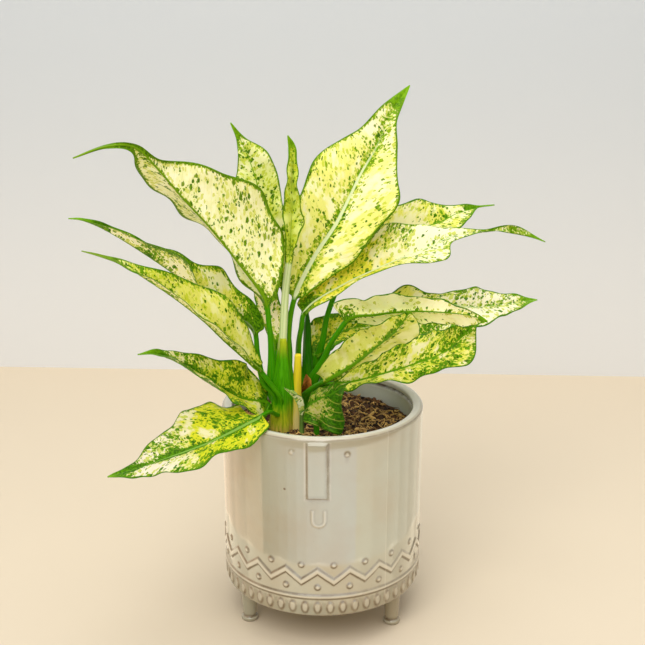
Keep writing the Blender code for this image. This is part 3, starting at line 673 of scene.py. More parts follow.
# A blade's row is x, y, z, then the width and lift of its left half and of its right one; lifts in degrees.
# A leaf starts on its shoot, at its height and on the side given in degrees, or at its root in the mix.
leaves = {
    "leaf_upper_left": {
        "shoot": "left_shoot", "side": 172, "height": 160, "wavy": 1.9, "ragged": 0.07,
        "petiole": [(-34, -15, 193), (-35, -17, 215)],
        "face": (0, 0.95, -0.15),
        "blade": [
            (-38, -20, 235, 8, 10, 6, 60), (-54, -26, 260, 36, 8, 20, 75), (-70, -31, 283, 39, 5, 24, 72),
            (-86, -38, 304, 30, 5, 22, 62), (-101, -47, 326, 7, 10, 15, 25), (-112, -57, 340, 2, 10, 4, 10),
            (-127, -69, 342, 1.4, 10, 1.4, 10), (-144, -83, 337, 0.4, 0, 0.4, 0)]},
    "leaf_back_left": {
        "shoot": "left_shoot", "side": 62, "height": 160,
        "petiole": [(-23, 0, 190), (-25, 6, 212)],
        "face": (0.1, -0.95, 0.25),
        "blade": [
            (-28, 10, 240, 4, 10, 4, 10), (-33, 14, 263, 16, 10, 11, 10), (-43, 20, 296, 20, 12, 14, 12),
            (-50, 25, 317, 10, 12, 15, 12), (-57, 29, 332, 3, 12, 4, 12), (-64, 31, 344, 0.4, 0, 0.4, 0)]},
    "leaf_spear": {
        "shoot": "left_shoot", "height": None, "stout": 1.35,
        "petiole": [(-26, -15, 204), (-24, -13, 239)],
        "face": (0, -1, 0.1), "lobe": 0,
        "blade": [
            (-21, -12, 264, 4, 50, 4, 50), (-20, -11, 283, 8, 60, 10, 40), (-19, -11, 298, 9, 55, 9, 50),
            (-19, -9, 312, 8, 60, 7, 60), (-19, -9, 325, 4, 60, 4, 50), (-20, -9, 333, 2, 30, 4, 30),
            (-22, -9, 341, 0.4, 0, 0.4, 0)]},
    "leaf_top": {
        "shoot": "left_shoot", "side": 8, "height": 160,
        "petiole": [(-23, -9, 190), (-22, -3, 215)],
        "face": (0, -0.9, 0.45),
        "blade": [
            (-17, 1, 235, 5, 10, 5, 10), (-5, 9, 258, 24, 12, 22, 12), (8, 16, 277, 31, 12, 27, 12),
            (18, 25, 296, 32, 12, 33, 12), (25, 32, 310, 31, 12, 30, 14), (36, 43, 328, 18, 14, 15, 16),
            (44, 54, 347, 9, 14, 7, 16), (58, 69, 366, 0.4, 0, 0.4, 0)]},
    "leaf_right_back": {
        "shoot": "right_shoot", "side": 75, "height": 160,
        "petiole": [(-4, 15, 182), (-0.4, 13, 196), (2.5, 17, 212), (9, 28, 229)],
        "face": (-0.1, -0.5, 0.85),
        "blade": [
            (17, 37, 245, 5, 20, 9, -30), (34, 48, 257, 20, 30, 17, -20), (59, 61, 263, 22, 30, 21, 0),
            (81, 71, 268, 19, 30, 17, 5), (95, 80, 273, 8, 20, 12, 10), (110, 88, 276, 2, 10, 2, 10),
            (123, 94, 277, 0.4, 0, 0.4, 0)]},
    "leaf_long_right": {
        "shoot": "right_shoot", "side": 195, "height": 160,
        "petiole": [(-17, 5, 190), (-15, 1, 206)],
        "face": (-0.2, -0.4, 0.9),
        "blade": [
            (-10, 1, 223, 8, 20, 6, 10), (14, 5, 238, 19, 35, 9, 20), (32, 10, 246, 17, 30, 9, 20),
            (51, 14, 254, 27, 30, 12, 15), (68, 19, 260, 22, 25, 17, 5), (78, 22, 264, 18, 25, 19, 0),
            (87, 24, 268, 9, 20, 6, 0), (109, 29, 271, 1.5, 30, 1.4, -30),
            (132, 34, 271, 2.6, 40, 2.6, -40), (154, 39, 262, 0.4, 0, 0.4, 0)]},
    "leaf_right_front": {
        "shoot": "right_shoot", "side": 318, "height": 160,
        "petiole": [(0, 1, 183), (5, -5, 197), (10, -10, 207)],
        "face": (0.1, 0.9, 0.35), "lobe": 3,
        "blade": [
            (20, -15, 221, 6, 5, 15, 0), (36, -24, 226, 13, 10, 14, 0), (50, -34, 231, 11, 10, 15, 0),
            (68, -45, 235, 12, 10, 11, 5), (88, -56, 237, 12, 5, 6, 10), (97, -61, 237, 8, 5, 3, 10),
            (106, -66, 235, 0.4, 0, 0.4, 0)]},
    "leaf_right_mid": {
        "shoot": "right_shoot", "side": 20, "height": 160, "wavy": 1.5,
        "petiole": [(5, 22, 178), (23, 36, 190)],
        "face": (-0.2, -0.5, 0.85),
        "blade": [
            (41, 39, 209, 6, 20, 8, 10), (59, 40, 216, 13, 30, 20, 0), (75, 44, 216, 6, 25, 24, 0),
            (92, 50, 212, 11, 25, 23, 0), (110, 55, 209, 15, 30, 19, 0), (133, 63, 210, 9, 20, 9, 0),
            (155, 71, 211, 0.4, 0, 0.4, 0)]},
    "leaf_low_right": {
        "shoot": "right_shoot", "side": 300, "height": 148, "wavy": 1.8,
        "petiole": [(1, -13, 171)],
        "face": (0, -0.2, 1),
        "blade": [
            (10, -22, 176, 5, 20, 5, 10), (23, -25, 179, 12, 30, 10, 10), (39, -28, 185, 17, 30, 12, 0),
            (59, -31, 193, 24, 30, 14, -10), (78, -34, 202, 20, 30, 15, -20),
            (89, -37, 212, 12, 30, 20, -30), (96, -39, 220, 6, 30, 10, -40),
            (102, -40, 226, 0.4, 0, 0.4, 0)]},
    "leaf_low_back": {
        "shoot": "right_shoot", "side": 345, "height": 150,
        "petiole": [(4, -1, 180)],
        "face": (0, -0.3, 1),
        "blade": [
            (15, -5, 190, 5, 20, 5, 10), (42, -2, 197, 13, 25, 14, 0), (65, 3, 201, 13, 30, 14, 0),
            (80, 7, 201, 14, 30, 12, 0), (94, 10, 204, 8, 20, 8, 0), (108, 14, 209, 0.4, 0, 0.4, 0)]},
    "leaf_yellow_front": {
        "shoot": "right_shoot", "side": 262, "height": 148,
        "petiole": [(-4, -12, 170)],
        "face": (-0.1, 0.9, 0.2),
        "blade": [
            (7, -30, 183, 3, 10, 10, 5), (21, -36, 194, 5, 20, 16, 5), (38, -44, 211, 11, 20, 17, 0),
            (48, -50, 222, 15, 10, 12, 0), (54, -53, 231, 12, 0, 6, 0), (58, -55, 238, 0.4, 0, 0.4, 0)]},
    "leaf_inner_yellow": {
        "shoot": "right_shoot", "height": None,
        "petiole": [(-8.2, 13, 177.6)],
        "face": (-0.2, -0.5, 0.85),
        "blade": [
            (-5.3, 16, 186, 8, 20, 5, 10), (2.7, 21, 192.8, 18, 30, 10, 10),
            (16.8, 26, 199.8, 13, 30, 10, 0), (33, 28, 202.2, 5, 20, 6, 0),
            (47.1, 29, 206.5, 0.4, 0, 0.4, 0)]},
    "leaf_crumpled": {
        "root": (-3, -24), "petiole": [(-5, -27, 153)],
        "face": (-0.2, 0.1, 1), "lobe": 2,
        "blade": [
            (-9, -32, 163, 8, 30, 12, -50), (0, -37, 171, 9, 40, 22, -60), (10, -43, 178, 8, 30, 26, -62),
            (20, -47, 187, 0.4, 0, 0.4, 0)]},
    "leaf_low_left": {
        "shoot": "left_shoot", "side": 205, "height": 148, "sheath": 0.6,
        "petiole": [],
        "face": (0, -0.2, 1), "lobe": 2,
        "blade": [
            (-38, -24, 163, 11, -45, 8, 50), (-55, -34, 170, 20, 5, 24, 55),
            (-74, -43, 185, 16, 18, 16, 50), (-91, -51, 200, 8, 22, 8, 40), (-105, -58, 208, 3, 10, 3, 20),
            (-115, -63, 209, 0.4, 0, 0.4, 0)]},
    "leaf_over_rim": {
        "shoot": "left_shoot", "side": 255, "height": 145, "stout": 0.8, "sheath": 0.15, "footLift": 7,
        "petiole": [(-34, -35, 160)],
        "face": (-0.1, -0.4, 0.9), "lobe": 0,
        "blade": [
            (-40, -52, 162, 10, -15, 19, -5), (-47, -57.5, 160, 15, -10, 21, 0),
            (-56, -64, 157, 16, -5, 29, 10), (-71, -72, 152, 17, 10, 31, 10),
            (-85, -77, 148, 21, 10, 26, 10), (-101, -80, 143, 15, 10, 17, 10),
            (-116, -82, 138, 9, 10, 6, 10), (-134, -84, 133, 0.4, 0, 0.4, 0)]},
    "leaf_left_high": {
        "shoot": "left_shoot", "side": 222, "height": 160, "wavy": 1.0, "ragged": 0.12,
        "petiole": [(-39, -21, 177), (-43, -17, 194)],
        "face": (0, -0.2, 1),
        "blade": [
            (-46, -14, 212, 4, 18, 6, 50), (-60, -17, 223, 9, 19, 17, 60), (-77, -24, 238, 12, 20, 20, 55),
            (-97, -33, 257, 19, 44, 12, 50), (-118, -43, 275, 11, 50, 6, 60),
            (-135, -51, 288, 6, 40, 3, 50), (-146, -59, 295, 1.6, 0, 1.6, 20),
            (-154, -63, 297, 0.4, 0, 0.4, 0)]},
    "leaf_left_mid": {
        "shoot": "left_shoot", "side": 268, "height": 158,
        "petiole": [(-35, -25, 178)],
        "face": (0, -0.2, 1),
        "blade": [
            (-43, -30, 191, 5, 15, 6, 50), (-61, -42, 213, 16, 17, 20, 55), (-73, -49, 228, 16, 17, 21, 55),
            (-88, -58, 244, 14, 17, 15, 50), (-103, -67, 258, 9, 17, 9, 50), (-121, -77, 273, 4, 10, 3, 30),
            (-141, -86, 282, 0.4, 0, 0.4, 0)]},
    "leaf_behind": {
        "shoot": "left_shoot", "side": 117, "height": 160,
        "petiole": [(-31, -6, 183)],
        "face": (0.2, 0.9, 0.4),
        "blade": [
            (-32, -3, 198, 4, 10, 4, 10), (-37, 2, 216, 10, 10, 8, 10), (-42, 7, 232, 11, 10, 9, 10),
            (-50, 13, 246, 8, 10, 6, 10), (-59, 17, 257, 0.4, 0, 0.4, 0)]},
    "dry_sheath": {
        "shoot": "right_shoot", "side": 230, "height": 150, "slot": "dry",
        "petiole": [],
        "face": (0, -1, 0.2), "lobe": 0,
        "blade": [
            (-12, -1, 163, 3.6, 30, 4.6, 30), (-10.5, -4, 170, 3.2, 30, 4.0, 30),
            (-11, -4, 176, 0.4, 0, 0.4, 0)]},
    "leaf_baby": {
        "root": (-13, -23), "petiole": [], "stout": 0.9,
        "face": (0.3, 0, 1), "lobe": 0,
        "blade": [
            (-13, -28, 160, 2.6, 30, 2.6, 30), (-16, -34, 170, 4.2, 40, 4.2, 40),
            (-23, -41, 180, 0.4, 0, 0.4, 0)]},
}


def unit(v):
    return v / np.linalg.norm(v)


def curvePoint(rows, t):
    i = min(int(t), len(rows) - 2)
    f = t - i
    p1, p2 = np.array(rows[i], float), np.array(rows[i + 1], float)
    p0 = np.array(rows[i - 1], float) if i > 0 else 2 * p1 - p2
    p3 = np.array(rows[i + 2], float) if i + 2 < len(rows) else 2 * p2 - p1
    return 0.5 * (2 * p1 + (p2 - p0) * f + (2 * p0 - 5 * p1 + 4 * p2 - p3) * f ** 2
                  + (3 * p1 - p0 - 3 * p2 + p3) * f ** 3)


def footPoints(leaf):
    if "root" in leaf:
        return [(*leaf["root"], soilTop + up) for up in (-rootDepth, -3, 5)]
    x, y = shoots[leaf["shoot"]]
    if leaf["height"] is None:
        top = shootShape["heights"][-1] + touchGap
        return [(x, y, top), (x, y, top + 5)]
    a = math.radians(leaf["side"])
    shootRadius = float(np.interp(leaf["height"], shootShape["heights"], shootShape["radii"]))
    beside = shootRadius + touchGap + leafShape["stalkRadius"]
    feet = ((beside * leafShape["footShare"], leaf.get("footLift", 0)),
            (beside + 0.4, leafShape["stalkRise"]))
    return [(x + out * math.cos(a), y + out * math.sin(a), leaf["height"] + up) for out, up in feet]


def leafStations(leaf):
    stalk, blade = footPoints(leaf) + leaf["petiole"], leaf["blade"]
    spine = stalk + [row[:3] for row in blade]
    last = len(spine) - 1
    opening = len(stalk) - 1 / 3           # where the stalk starts to open into the blade
    stalkTs = np.linspace(0, opening, int(opening * leafShape["stalkPerSpan"]), endpoint=False)
    zoneTs = opening + (1 - np.cos(np.linspace(0, math.pi / 2, leafShape["openingRows"] + 1)[:-1])) / 3
    bladeTs = np.linspace(len(stalk), last, (len(blade) - 1) * leafShape["perSpan"] + 1)
    stations = []
    for t in np.concatenate([stalkTs, zoneTs, bladeTs]):
        opened = float(np.clip((t - opening) * 3, 0, 1))
        stations.append({
            "centre": curvePoint(spine, t),
            "tangent": unit(curvePoint(spine, min(last, t + 0.05)) - curvePoint(spine, max(0, t - 0.05))),
            "section": curvePoint(blade, max(0, t - len(stalk)))[3:],
            "open": opened,
            "grown": math.sqrt(1 - (1 - opened) ** 2),
            "part": max(0, (t - len(stalk)) / (len(blade) - 1)),
        })
    # the blade faces one way, and the stalk turns with it
    face = np.array(leaf["face"], float)
    for s in reversed(stations):
        aim = face if s["open"] >= 1 else upper
        upper = unit(aim - s["tangent"] * aim.dot(s["tangent"]))
        s.update(upper=upper, side=np.cross(s["tangent"], upper))
    return stations


def spreadAcross():
    # places from the left edge to the right one, closer at the edges
    even = np.linspace(-1, 1, leafShape["across"] + 1)
    crowding = leafShape["edgeCrowding"]
    return np.sign(even) * ((1 - crowding) * np.abs(even) + crowding * np.sin(np.abs(even) * math.pi / 2))


u = spreadAcross()
reach = np.abs(u)
left = u < 0


def leafWaves(leaf, seed):
    rng = random.Random(seed * 7 + 3)
    widest = max(max(row[3], row[5]) for row in leaf["blade"])
    return {
        "phases": (rng.uniform(0, anyTurn), rng.uniform(0, anyTurn)),
        "count": rng.uniform(*leafShape["waves"]),
        "depth": min(leafShape["waveDepth"], leafShape["waveLimit"] * widest) * leaf.get("wavy", 1.0),
    }


def stalkSection(leaf, s, at, share):
    # channelled above, and flared into a sheath at its foot; share is how far up the stalk it is
    shape = leafShape
    angle = np.radians(np.linspace(*shape["stalkTurn"], len(u)))
    r = (shape["stalkLook"] + (shape["stalkTopLook"] - shape["stalkLook"]) * share) * leaf.get("stout", 1.0)
    foot = float(smoothStep(shape["sheathRun"], 0, at)) if leaf.get("height") else 0.0
    channel = 1 - shape["channelDepth"] * bell(np.degrees(angle) - 90, shape["channelSpread"])
    wide = r * (1 + shape["sheathSpread"] * leaf.get("sheath", 1.0) * foot)
    middle = s["centre"] + (wide * np.cos(angle))[:, None] * s["side"]
    up = (r * np.sin(angle))[:, None] * s["upper"]
    return r, middle + channel[:, None] * up, middle - up


def bladeSection(leaf, s, w, along, beyond, waves):
    # two halves, each with its own lift, that wave and are furrowed at the side veins, and the midrib
    shape = leafShape
    upper, side = s["upper"], s["side"]
    b = w * u
    lift = np.radians(np.where(left, s["section"][1], s["section"][3]))
    sideways = np.where(left, -1.0, 1.0)
    edgeDir = np.sin(lift)[:, None] * upper + (np.cos(lift) * sideways)[:, None] * side
    halfUp = np.cos(lift)[:, None] * upper - (np.sin(lift) * sideways)[:, None] * side
    back = leaf.get("lobe", shape["lobe"]) * max(0, 1 - s["part"] / shape["lobeReach"]) ** 2 * s["open"]
    surface = s["centre"] + (w * reach)[:, None] * edgeDir - (back * reach)[:, None] * s["tangent"]
    turned = smoothStep(0, shape["foldHalf"], np.abs(b))[:, None]
    up = upper * (1 - turned) + halfUp * turned
    up /= np.linalg.norm(up, axis=1)[:, None]

    fade = smoothStep(0, shape["calmUpTo"], along) * smoothStep(1.0, shape["calmFrom"], along)
    phase = np.where(left, *waves["phases"])
    turns = 2 * math.pi * waves["count"] * along
    ripple = np.sin(turns + phase) + 0.5 * np.sin(2.3 * turns + 2 * phase)
    a = beyond - shape["veinSlope"] * np.abs(b) - shape["veinCurve"] * b ** 2
    furrow = shape["veinRelief"] * bell(np.sin(math.pi * a / shape["veinSpacing"]), shape["veinWidth"])
    furrow *= smoothStep(0, shape["edgeFade"], w * (1 - reach)) * fade
    offset = (shape["camber"] * w * np.sin(math.pi * reach) + waves["depth"] * reach ** 2 * ripple) * fade
    offset -= furrow * smoothStep(0.5, 3, np.abs(b)) + shape["ribGroove"] * bell(b, 1.0) * s["grown"]
    rib = shape["ribThickness"] - shape["tipRibThickness"]
    rib = shape["tipRibThickness"] + rib * (1 - along) ** shape["ribTaper"]
    tipHalf, baseHalf = shape["ribHalf"]
    ribShare = bell(b, tipHalf + (baseHalf - tipHalf) * (1 - along))
    thick = shape["edgeThickness"] + max(0, rib - shape["edgeThickness"]) * ribShare + 0.8 * furrow
    top = surface + offset[:, None] * up
    return top, top - thick[:, None] * up, a


def buildLeaf(name, leaf, seed):
    stations = leafStations(leaf)
    steps = np.linalg.norm(np.diff([s["centre"] for s in stations], axis=0), axis=1)
    run = np.concatenate([[0], np.cumsum(steps)])
    stalkRun = run[next(k for k, s in enumerate(stations) if s["open"] > 0)]
    waves = leafWaves(leaf, seed)
    points, place, vein = [], [], []
    for s, at in zip(stations, run):
        inBlade, beyond = s["open"] > 0, at - stalkRun
        along = beyond / (run[-1] - stalkRun) if inBlade else at / stalkRun - 1
        r, top, low = stalkSection(leaf, s, at, 1 if inBlade else at / stalkRun)
        uneven = math.sin(leafShape["raggedWaves"] * along * math.pi + waves["phases"][0])
        w = np.where(left, s["section"][0], s["section"][2])
        w = w * (1 + leaf.get("ragged", leafShape["ragged"]) * uneven) * s["grown"] + r * (1 - s["grown"])
        a = np.full(len(u), beyond)
        if inBlade:
            bladeTop, bladeLow, a = bladeSection(leaf, s, w, along, beyond, waves)
            m = float(smoothStep(0, 1, s["open"]))
            top = top * (1 - m) + bladeTop * m
            low = low * (1 - m) + bladeLow * m
        points += [*top, *low[::-1]]
        place += [(x, along, 0) for x in u] + [(x, along, 1) for x in u[::-1]]
        marks = list(zip(a, w * u, w * (1 - reach)))
        vein += marks + marks[::-1]
    faces = tubeFaces(len(stations), 2 * len(u))
    slot = leaf.get("slot", "leaf")
    material = dryMaterial() if slot == "dry" else leafMaterial(name, seed)
    makePiece("fine_" + name, points, faces, material, name, {"leafPlace": place, "leafVein": vein})


for index, (name, leaf) in enumerate(leaves.items()):
    buildLeaf(name, leaf, index + 1)
print("leaves grown:", len(leaves))


# Planter: one turned and pressed body with its relief, and three legs

planter = {
    "legHeight": 26.0,
    "rimTop": 155.5,
    "rimRadius": 70.0,
    "rimDrop": 2.6,
    "rimSteps": 12,
    "innerRadius": 62.6,
    "waistRadius": 69.2,
    "baseRadius": 68.9,
    "floorThickness": 7.0,
    "columns": 720,
    "coarseStep": 4,
    "fineFront": 24.0,                  # degrees from the front
    "lineWidth": 0.68,
    "legCircle": 58.2,
    "legSides": 32,
    # radius, height and wear, down a leg and its button foot
    "leg": ((0.3, 28, 0), (6.4, 28, 0), (6.6, 26.3, 0), (6.0, 24.0, 0), (5.7, 20, 0), (5.2, 12, 0),
            (4.8, 6.4, 0), (4.6, 4.9, 0.3), (4.4, 4.2, 1), (4.5, 3.6, 1), (5.3, 3.35, 0.4), (5.8, 2.9, 0),
            (5.9, 2.0, 0), (5.8, 0.9, 0.1), (5.3, 0.15, 0.7), (5.0, 0, 0.4), (0.3, 0, 0)),
    # depth under the rim, how far out of the inner radius, and wear, down the inner ledge and wall; the full
    # wear in the groove is partly painted shade
    "ledge": ((3.4, 0, 0.3), (4.0, 0.1, 0.5), (4.5, 1.3, 1.0), (5.4, 1.5, 1.0), (6.0, 0.2, 0.8), (7, 0, 0.2),
              (12, 0, 0), (18, 0, 0), (30, 0, 0), (60, 0, 0), (100, 0, 0), (117.5, 0, 0)),
}

relief = {
    "zigzags": 20,
    "zigPeak": 60.5,
    "zigValley": 52.2,
    "zigHalf": 1.9,
    "dotRadius": 1.9,
    "dotAbove": 64.8,
    "dotBelow": 48.5,
    "ringHeight": 41.15,
    "ringHalf": 1.45,
    "ovals": 51,
    "ovalHeight": 33.2,
    "ovalHalfHeight": 4.0,
    "ovalHalfWidth": 2.3,
    "proud": 0.85,
    "noseHalf": 7.0,
    "noseBottom": 113.3,
    "noseTop": 153.0,
    "noseProud": 2.3,
    "noseFade": 1.3,
    "eyes": [(-17.1, 145.2), (19.5, 143.9)],
    "eyeRadius": 1.6,
    "mouthArc": 0.8,
    "mouthHalf": 4.1,
    "mouthTop": 104.1,
    "mouthBottom": 93.5,
    "mouthLine": 0.85,
}


def folded(arc, period):
    return (arc + period / 2) % period - period / 2


def reliefField(arc, height):
    # distances in mm, above zero inside each raised shape: pattern, mouth, eyes, nose
    r = relief
    z = np.full_like(arc, height)
    around = 2 * math.pi * planter["rimRadius"]
    period = around / r["zigzags"]
    local = folded(arc, period)
    rise = r["zigPeak"] - r["zigValley"]
    slope = math.cos(math.atan(rise / (period / 2)))
    ribbonAt = r["zigPeak"] - rise * np.abs(local) / (period / 2)
    ribbon = r["zigHalf"] - np.abs(z - ribbonAt) * slope
    above = r["dotRadius"] - np.hypot(folded(arc + period / 2, period), z - r["dotAbove"])
    below = r["dotRadius"] - np.hypot(local, z - r["dotBelow"])
    rings = r["ringHalf"] - np.abs(z - r["ringHeight"])
    x = folded(arc, around / r["ovals"]) / r["ovalHalfWidth"]
    ovals = (1 - np.hypot(x, (z - r["ovalHeight"]) / r["ovalHalfHeight"])) * r["ovalHalfWidth"]
    mouthTurn = r["mouthBottom"] + r["mouthHalf"]
    mouthArc = arc - r["mouthArc"]
    inArms = np.hypot(np.abs(mouthArc) - r["mouthHalf"], np.maximum(0, z - r["mouthTop"]))
    inBowl = np.abs(np.hypot(mouthArc, z - mouthTurn) - r["mouthHalf"])
    mouth = r["mouthLine"] - np.where(z > mouthTurn, inArms, inBowl)
    eyes = np.max([r["eyeRadius"] - np.hypot(arc - at, z - height) for at, height in r["eyes"]], axis=0)
    nose = np.minimum(r["noseHalf"] - np.abs(arc), z - r["noseBottom"])
    return np.max([ribbon, above, below, rings, ovals], axis=0), mouth, eyes, nose


# pale above 1.3 is painted light for the inside of the pot
def ringRow(angles, radius, z, wornAndShaded=0.0, pale=0.0):
    points = np.stack([radius * np.sin(angles), -radius * np.cos(angles), np.full_like(angles, z)], 1)
    return points, np.stack([np.full_like(angles, value) for value in (wornAndShaded, pale, z)], 1)


def wallRow(angles, z):
    p, r = planter, relief
    arc = angles * p["rimRadius"]
    line = p["lineWidth"]
    pattern, mouth, eyes, nose = reliefField(arc, z)
    atTop = float(smoothStep(r["noseTop"], r["noseTop"] - r["noseFade"], z))
    # painted shade: the brown line round the nose is wider on its right side and along its bottom, where the
    # raised plate throws its shade
    noseLine = np.where(arc > r["noseHalf"] / 2, 1.5, 0.8)
    if z < r["noseBottom"] + 2:
        noseLine = np.maximum(noseLine, 1.3)
    raised = np.max([r["proud"] * smoothStep(-0.45, 0.55, pattern), 0.6 * smoothStep(-0.5, 0.7, mouth),
                     smoothStep(-0.5, 1.2, eyes),
                     r["noseProud"] * atTop * smoothStep(-0.35, 0.75, nose)], axis=0)
    wornAndShaded = np.max([bell(pattern, line), 0.3 * bell(mouth + 0.5, line),
                   np.where(arc < 0, 0.12, 0.75) * bell(eyes + 0.2, line),
                   0.9 * atTop * bell(nose - 0.2, noseLine)], axis=0)
    inside = np.max([smoothStep(0, 0.8, pattern), smoothStep(-0.3, 0.4, mouth),
                     1.4 * smoothStep(0, 0.7, eyes), 1.3 * bell(nose + 1.3, 0.6)], axis=0)
    wall = np.interp(z, [p["legHeight"] + 1.5, 38, 44.7, p["rimTop"] - p["rimDrop"]],
                     [p["baseRadius"], p["waistRadius"], p["waistRadius"], p["rimRadius"]])
    return ringRow(angles, wall + raised, z, wornAndShaded, inside)


def planterRows():
    p = planter
    angles = np.arange(p["columns"]) * 2 * math.pi / p["columns"]
    angles = (angles + math.pi) % (2 * math.pi) - math.pi
    every = list(range(p["columns"]))
    plain = every[::p["coarseStep"]]
    front = [i for i in every if i % p["coarseStep"] == 0 or abs(math.degrees(angles[i])) < p["fineFront"]]
    rows = []

    def addRow(*args):
        rows.append((plain, *ringRow(angles[plain], *args)))

    # underside and lip
    bottom, base, inner = p["legHeight"], p["baseRadius"], p["innerRadius"]
    for radius in (0.5, 20, 40, 60, base - 2.2):
        addRow(radius, bottom)
    addRow(base - 1.2, bottom + 0.2, 0.3)
    addRow(base - 0.35, bottom + 0.8, 0.8)
    # outer wall, closer where there is relief
    for cols, low, high, step in ((every, bottom + 1.5, 68.5, 0.6), (plain, 69.5, 90, 4.0),
                                  (front, 90, 107, 0.75), (front, 107.5, 111.5, 1.2),
                                  (front, 112.3, 115.2, 0.45), (front, 117, 141, 4.0),
                                  (front, 141.5, 152.9, 0.7)):
        for z in np.arange(low, high, step):
            rows.append((cols, *wallRow(angles[cols], z)))
    # rim
    rimHalf = (p["rimRadius"] - inner) / 2
    for step in range(p["rimSteps"] + 1):
        a = math.pi * step / p["rimSteps"]
        flat = abs(math.cos(a)) ** 0.75 * math.copysign(1, math.cos(a))
        wornAndShaded = 0.55 * float(bell(a - 0.52, 0.18)) + 0.6 * float(bell(a - 2.75, 0.2))
        z = p["rimTop"] - p["rimDrop"] + p["rimDrop"] * math.sin(a)
        # pale above 1.3 on the top and inner side of the rim starts the painted light of the inside
        addRow(p["rimRadius"] - rimHalf + rimHalf * flat, z, wornAndShaded, min(1.6, step / 3))
    # inner wall and floor, with the pale channel at 2 for painted light that lifts the shade inside the pot
    for depth, out, wornAndShaded in p["ledge"]:
        addRow(inner + out, p["rimTop"] - depth, wornAndShaded, 2.0)
    for radius, height in ((inner - 1.5, 1.5), (inner - 5, 0), (40, 0), (20, 0), (0.5, 0)):
        addRow(radius, bottom + p["floorThickness"] + height, 0.0, 2.0)
    return rows


def between(start, at, count, first, last):
    i, stop = at[first], at[last]
    found = [start + i]
    while i != stop:
        i = (i + 1) % count
        found.append(start + i)
    return found


def stitchRows(rows):
    # rows with more columns join plainer ones in faces with more corners
    points, wearAndShading, starts = [], [], []
    for _, places, marks in rows:
        starts.append(len(points))
        points += list(places)
        wearAndShading += list(marks)
    faces = []
    for (lowCols, *_), (highCols, *_), low, high in zip(rows, rows[1:], starts, starts[1:]):
        shared = sorted(set(lowCols) & set(highCols))
        lowAt = {c: i for i, c in enumerate(lowCols)}
        highAt = {c: i for i, c in enumerate(highCols)}
        for c, nextCol in zip(shared, shared[1:] + shared[:1]):
            faces.append((*between(low, lowAt, len(lowCols), c, nextCol),
                          *between(high, highAt, len(highCols), c, nextCol)[::-1]))
    faces.append(tuple(range(len(rows[0][0])))[::-1])
    faces.append(tuple(range(starts[-1], len(points))))
    return points, wearAndShading, faces


def addLeg(points, wearAndShading, faces, angle):
    p = planter
    faces += tubeFaces(len(p["leg"]), p["legSides"], len(points), flip=True)
    x, y = p["legCircle"] * math.cos(angle), p["legCircle"] * math.sin(angle)
    for radius, z, wornAndShaded in p["leg"]:
        points += circle(radius, z, p["legSides"], x, y)
        wearAndShading += [(wornAndShaded, 0, z)] * p["legSides"]


glazeLook = {
    "body": srgb(171, 166, 143),
    "warm": srgb(169, 156, 128),
    # brown of glaze worn thin at edges, also used for painted shade beside the nose and in the inner groove
    "wornAndShaded": srgb(104, 80, 42),
    # painted light: near white for the inside of the pot, to lift the shade that falls in it
    "raised": srgb(206, 194, 170),
    "inner": srgb(234, 235, 223),
    "bandTop": 68.0,
    "pinholes": ((-0.0218, -0.0664, 0.1185),),
    "seam": 0.71,                       # radians from the front
}


def glazeMaterial():
    look = glazeLook
    material, tree, shader = newMaterial("stoneware_glaze", {"Coat Weight": 0.6, "Coat Roughness": 0.06})
    wornAndShaded, inside, height = attribute(tree, "glazeWearAndShading").split()
    place = objectPlace(tree)
    soft = place.grain(22.0)
    speck = place.grain(900.0, 2.0)
    patchy = place.grain(160.0, 3.0, 0.6)
    base = mix(soft.ramp(0.35, 0.7), look["body"], look["warm"])
    band = height.ramp(look["bandTop"], look["bandTop"] - 12) * patchy
    base = mix(band * 0.14, base, look["wornAndShaded"])
    base = mix(inside.maths("MULTIPLY", 0.6, clamp=True), base, look["raised"])
    # painted light: pale beyond 1.3, on the inner rim, wall and floor, turns near white to lift their shade
    base = mix(inside.ramp(1.3, 2.0), base, look["inner"])
    base = mix(speck.ramp(0.74, 0.80, 0.0, 0.35), base, look["wornAndShaded"])
    share = wornAndShaded * patchy.ramp(0.25, 0.65, 0.5, 1.0)
    for spot in look["pinholes"]:
        share = share.orMore(place.vectorMaths("DISTANCE", spot, out="Value").ramp(0.0011, 0.0006))
    colour = mix(share, base, look["wornAndShaded"])
    x, y, _ = place.split()
    seam = abs(x.maths("ARCTAN2", y * -1.0) - look["seam"]).ramp(0.010, 0.002)
    colour = mix(seam * 0.25, colour, look["raised"])
    feed(shader["Base Color"], colour)
    feed(shader["Roughness"], share.ramp(0.0, 1.0, 0.12, 0.38))
    addBump(shader, seam.times(0.08, patchy.times(0.12, soft * 0.7)), 0.0012, 0.35)
    return material


def buildPlanter():
    points, wearAndShading, faces = stitchRows(planterRows())
    for i in range(3):
        addLeg(points, wearAndShading, faces, math.radians(90 + 120 * i))
    makePiece("glazed_planter", points, faces, glazeMaterial(), "planter", {"glazeWearAndShading": wearAndShading})


buildPlanter()
print("planter glazed")


# Potting mix: a lumpy bed with bark chips and coir fibres

mixLook = {
    "radius": 62.2,
    "level": 139.2,
    "lumps": 2.0,
    "clods": 0.7,
    "rings": 46,
    "spokes": 150,
    "shootClear": 7,
    "chips": 1250,
    "chipRings": 5,
    "chipSides": 7,
    "fibres": 760,
    "fibreSteps": 6,
    "fibreSides": 5,
    "dark": srgb(20, 11, 5),
    "mid": srgb(116, 72, 32),
    "light": srgb(242, 194, 114),
    "bedTone": 0.22,
}


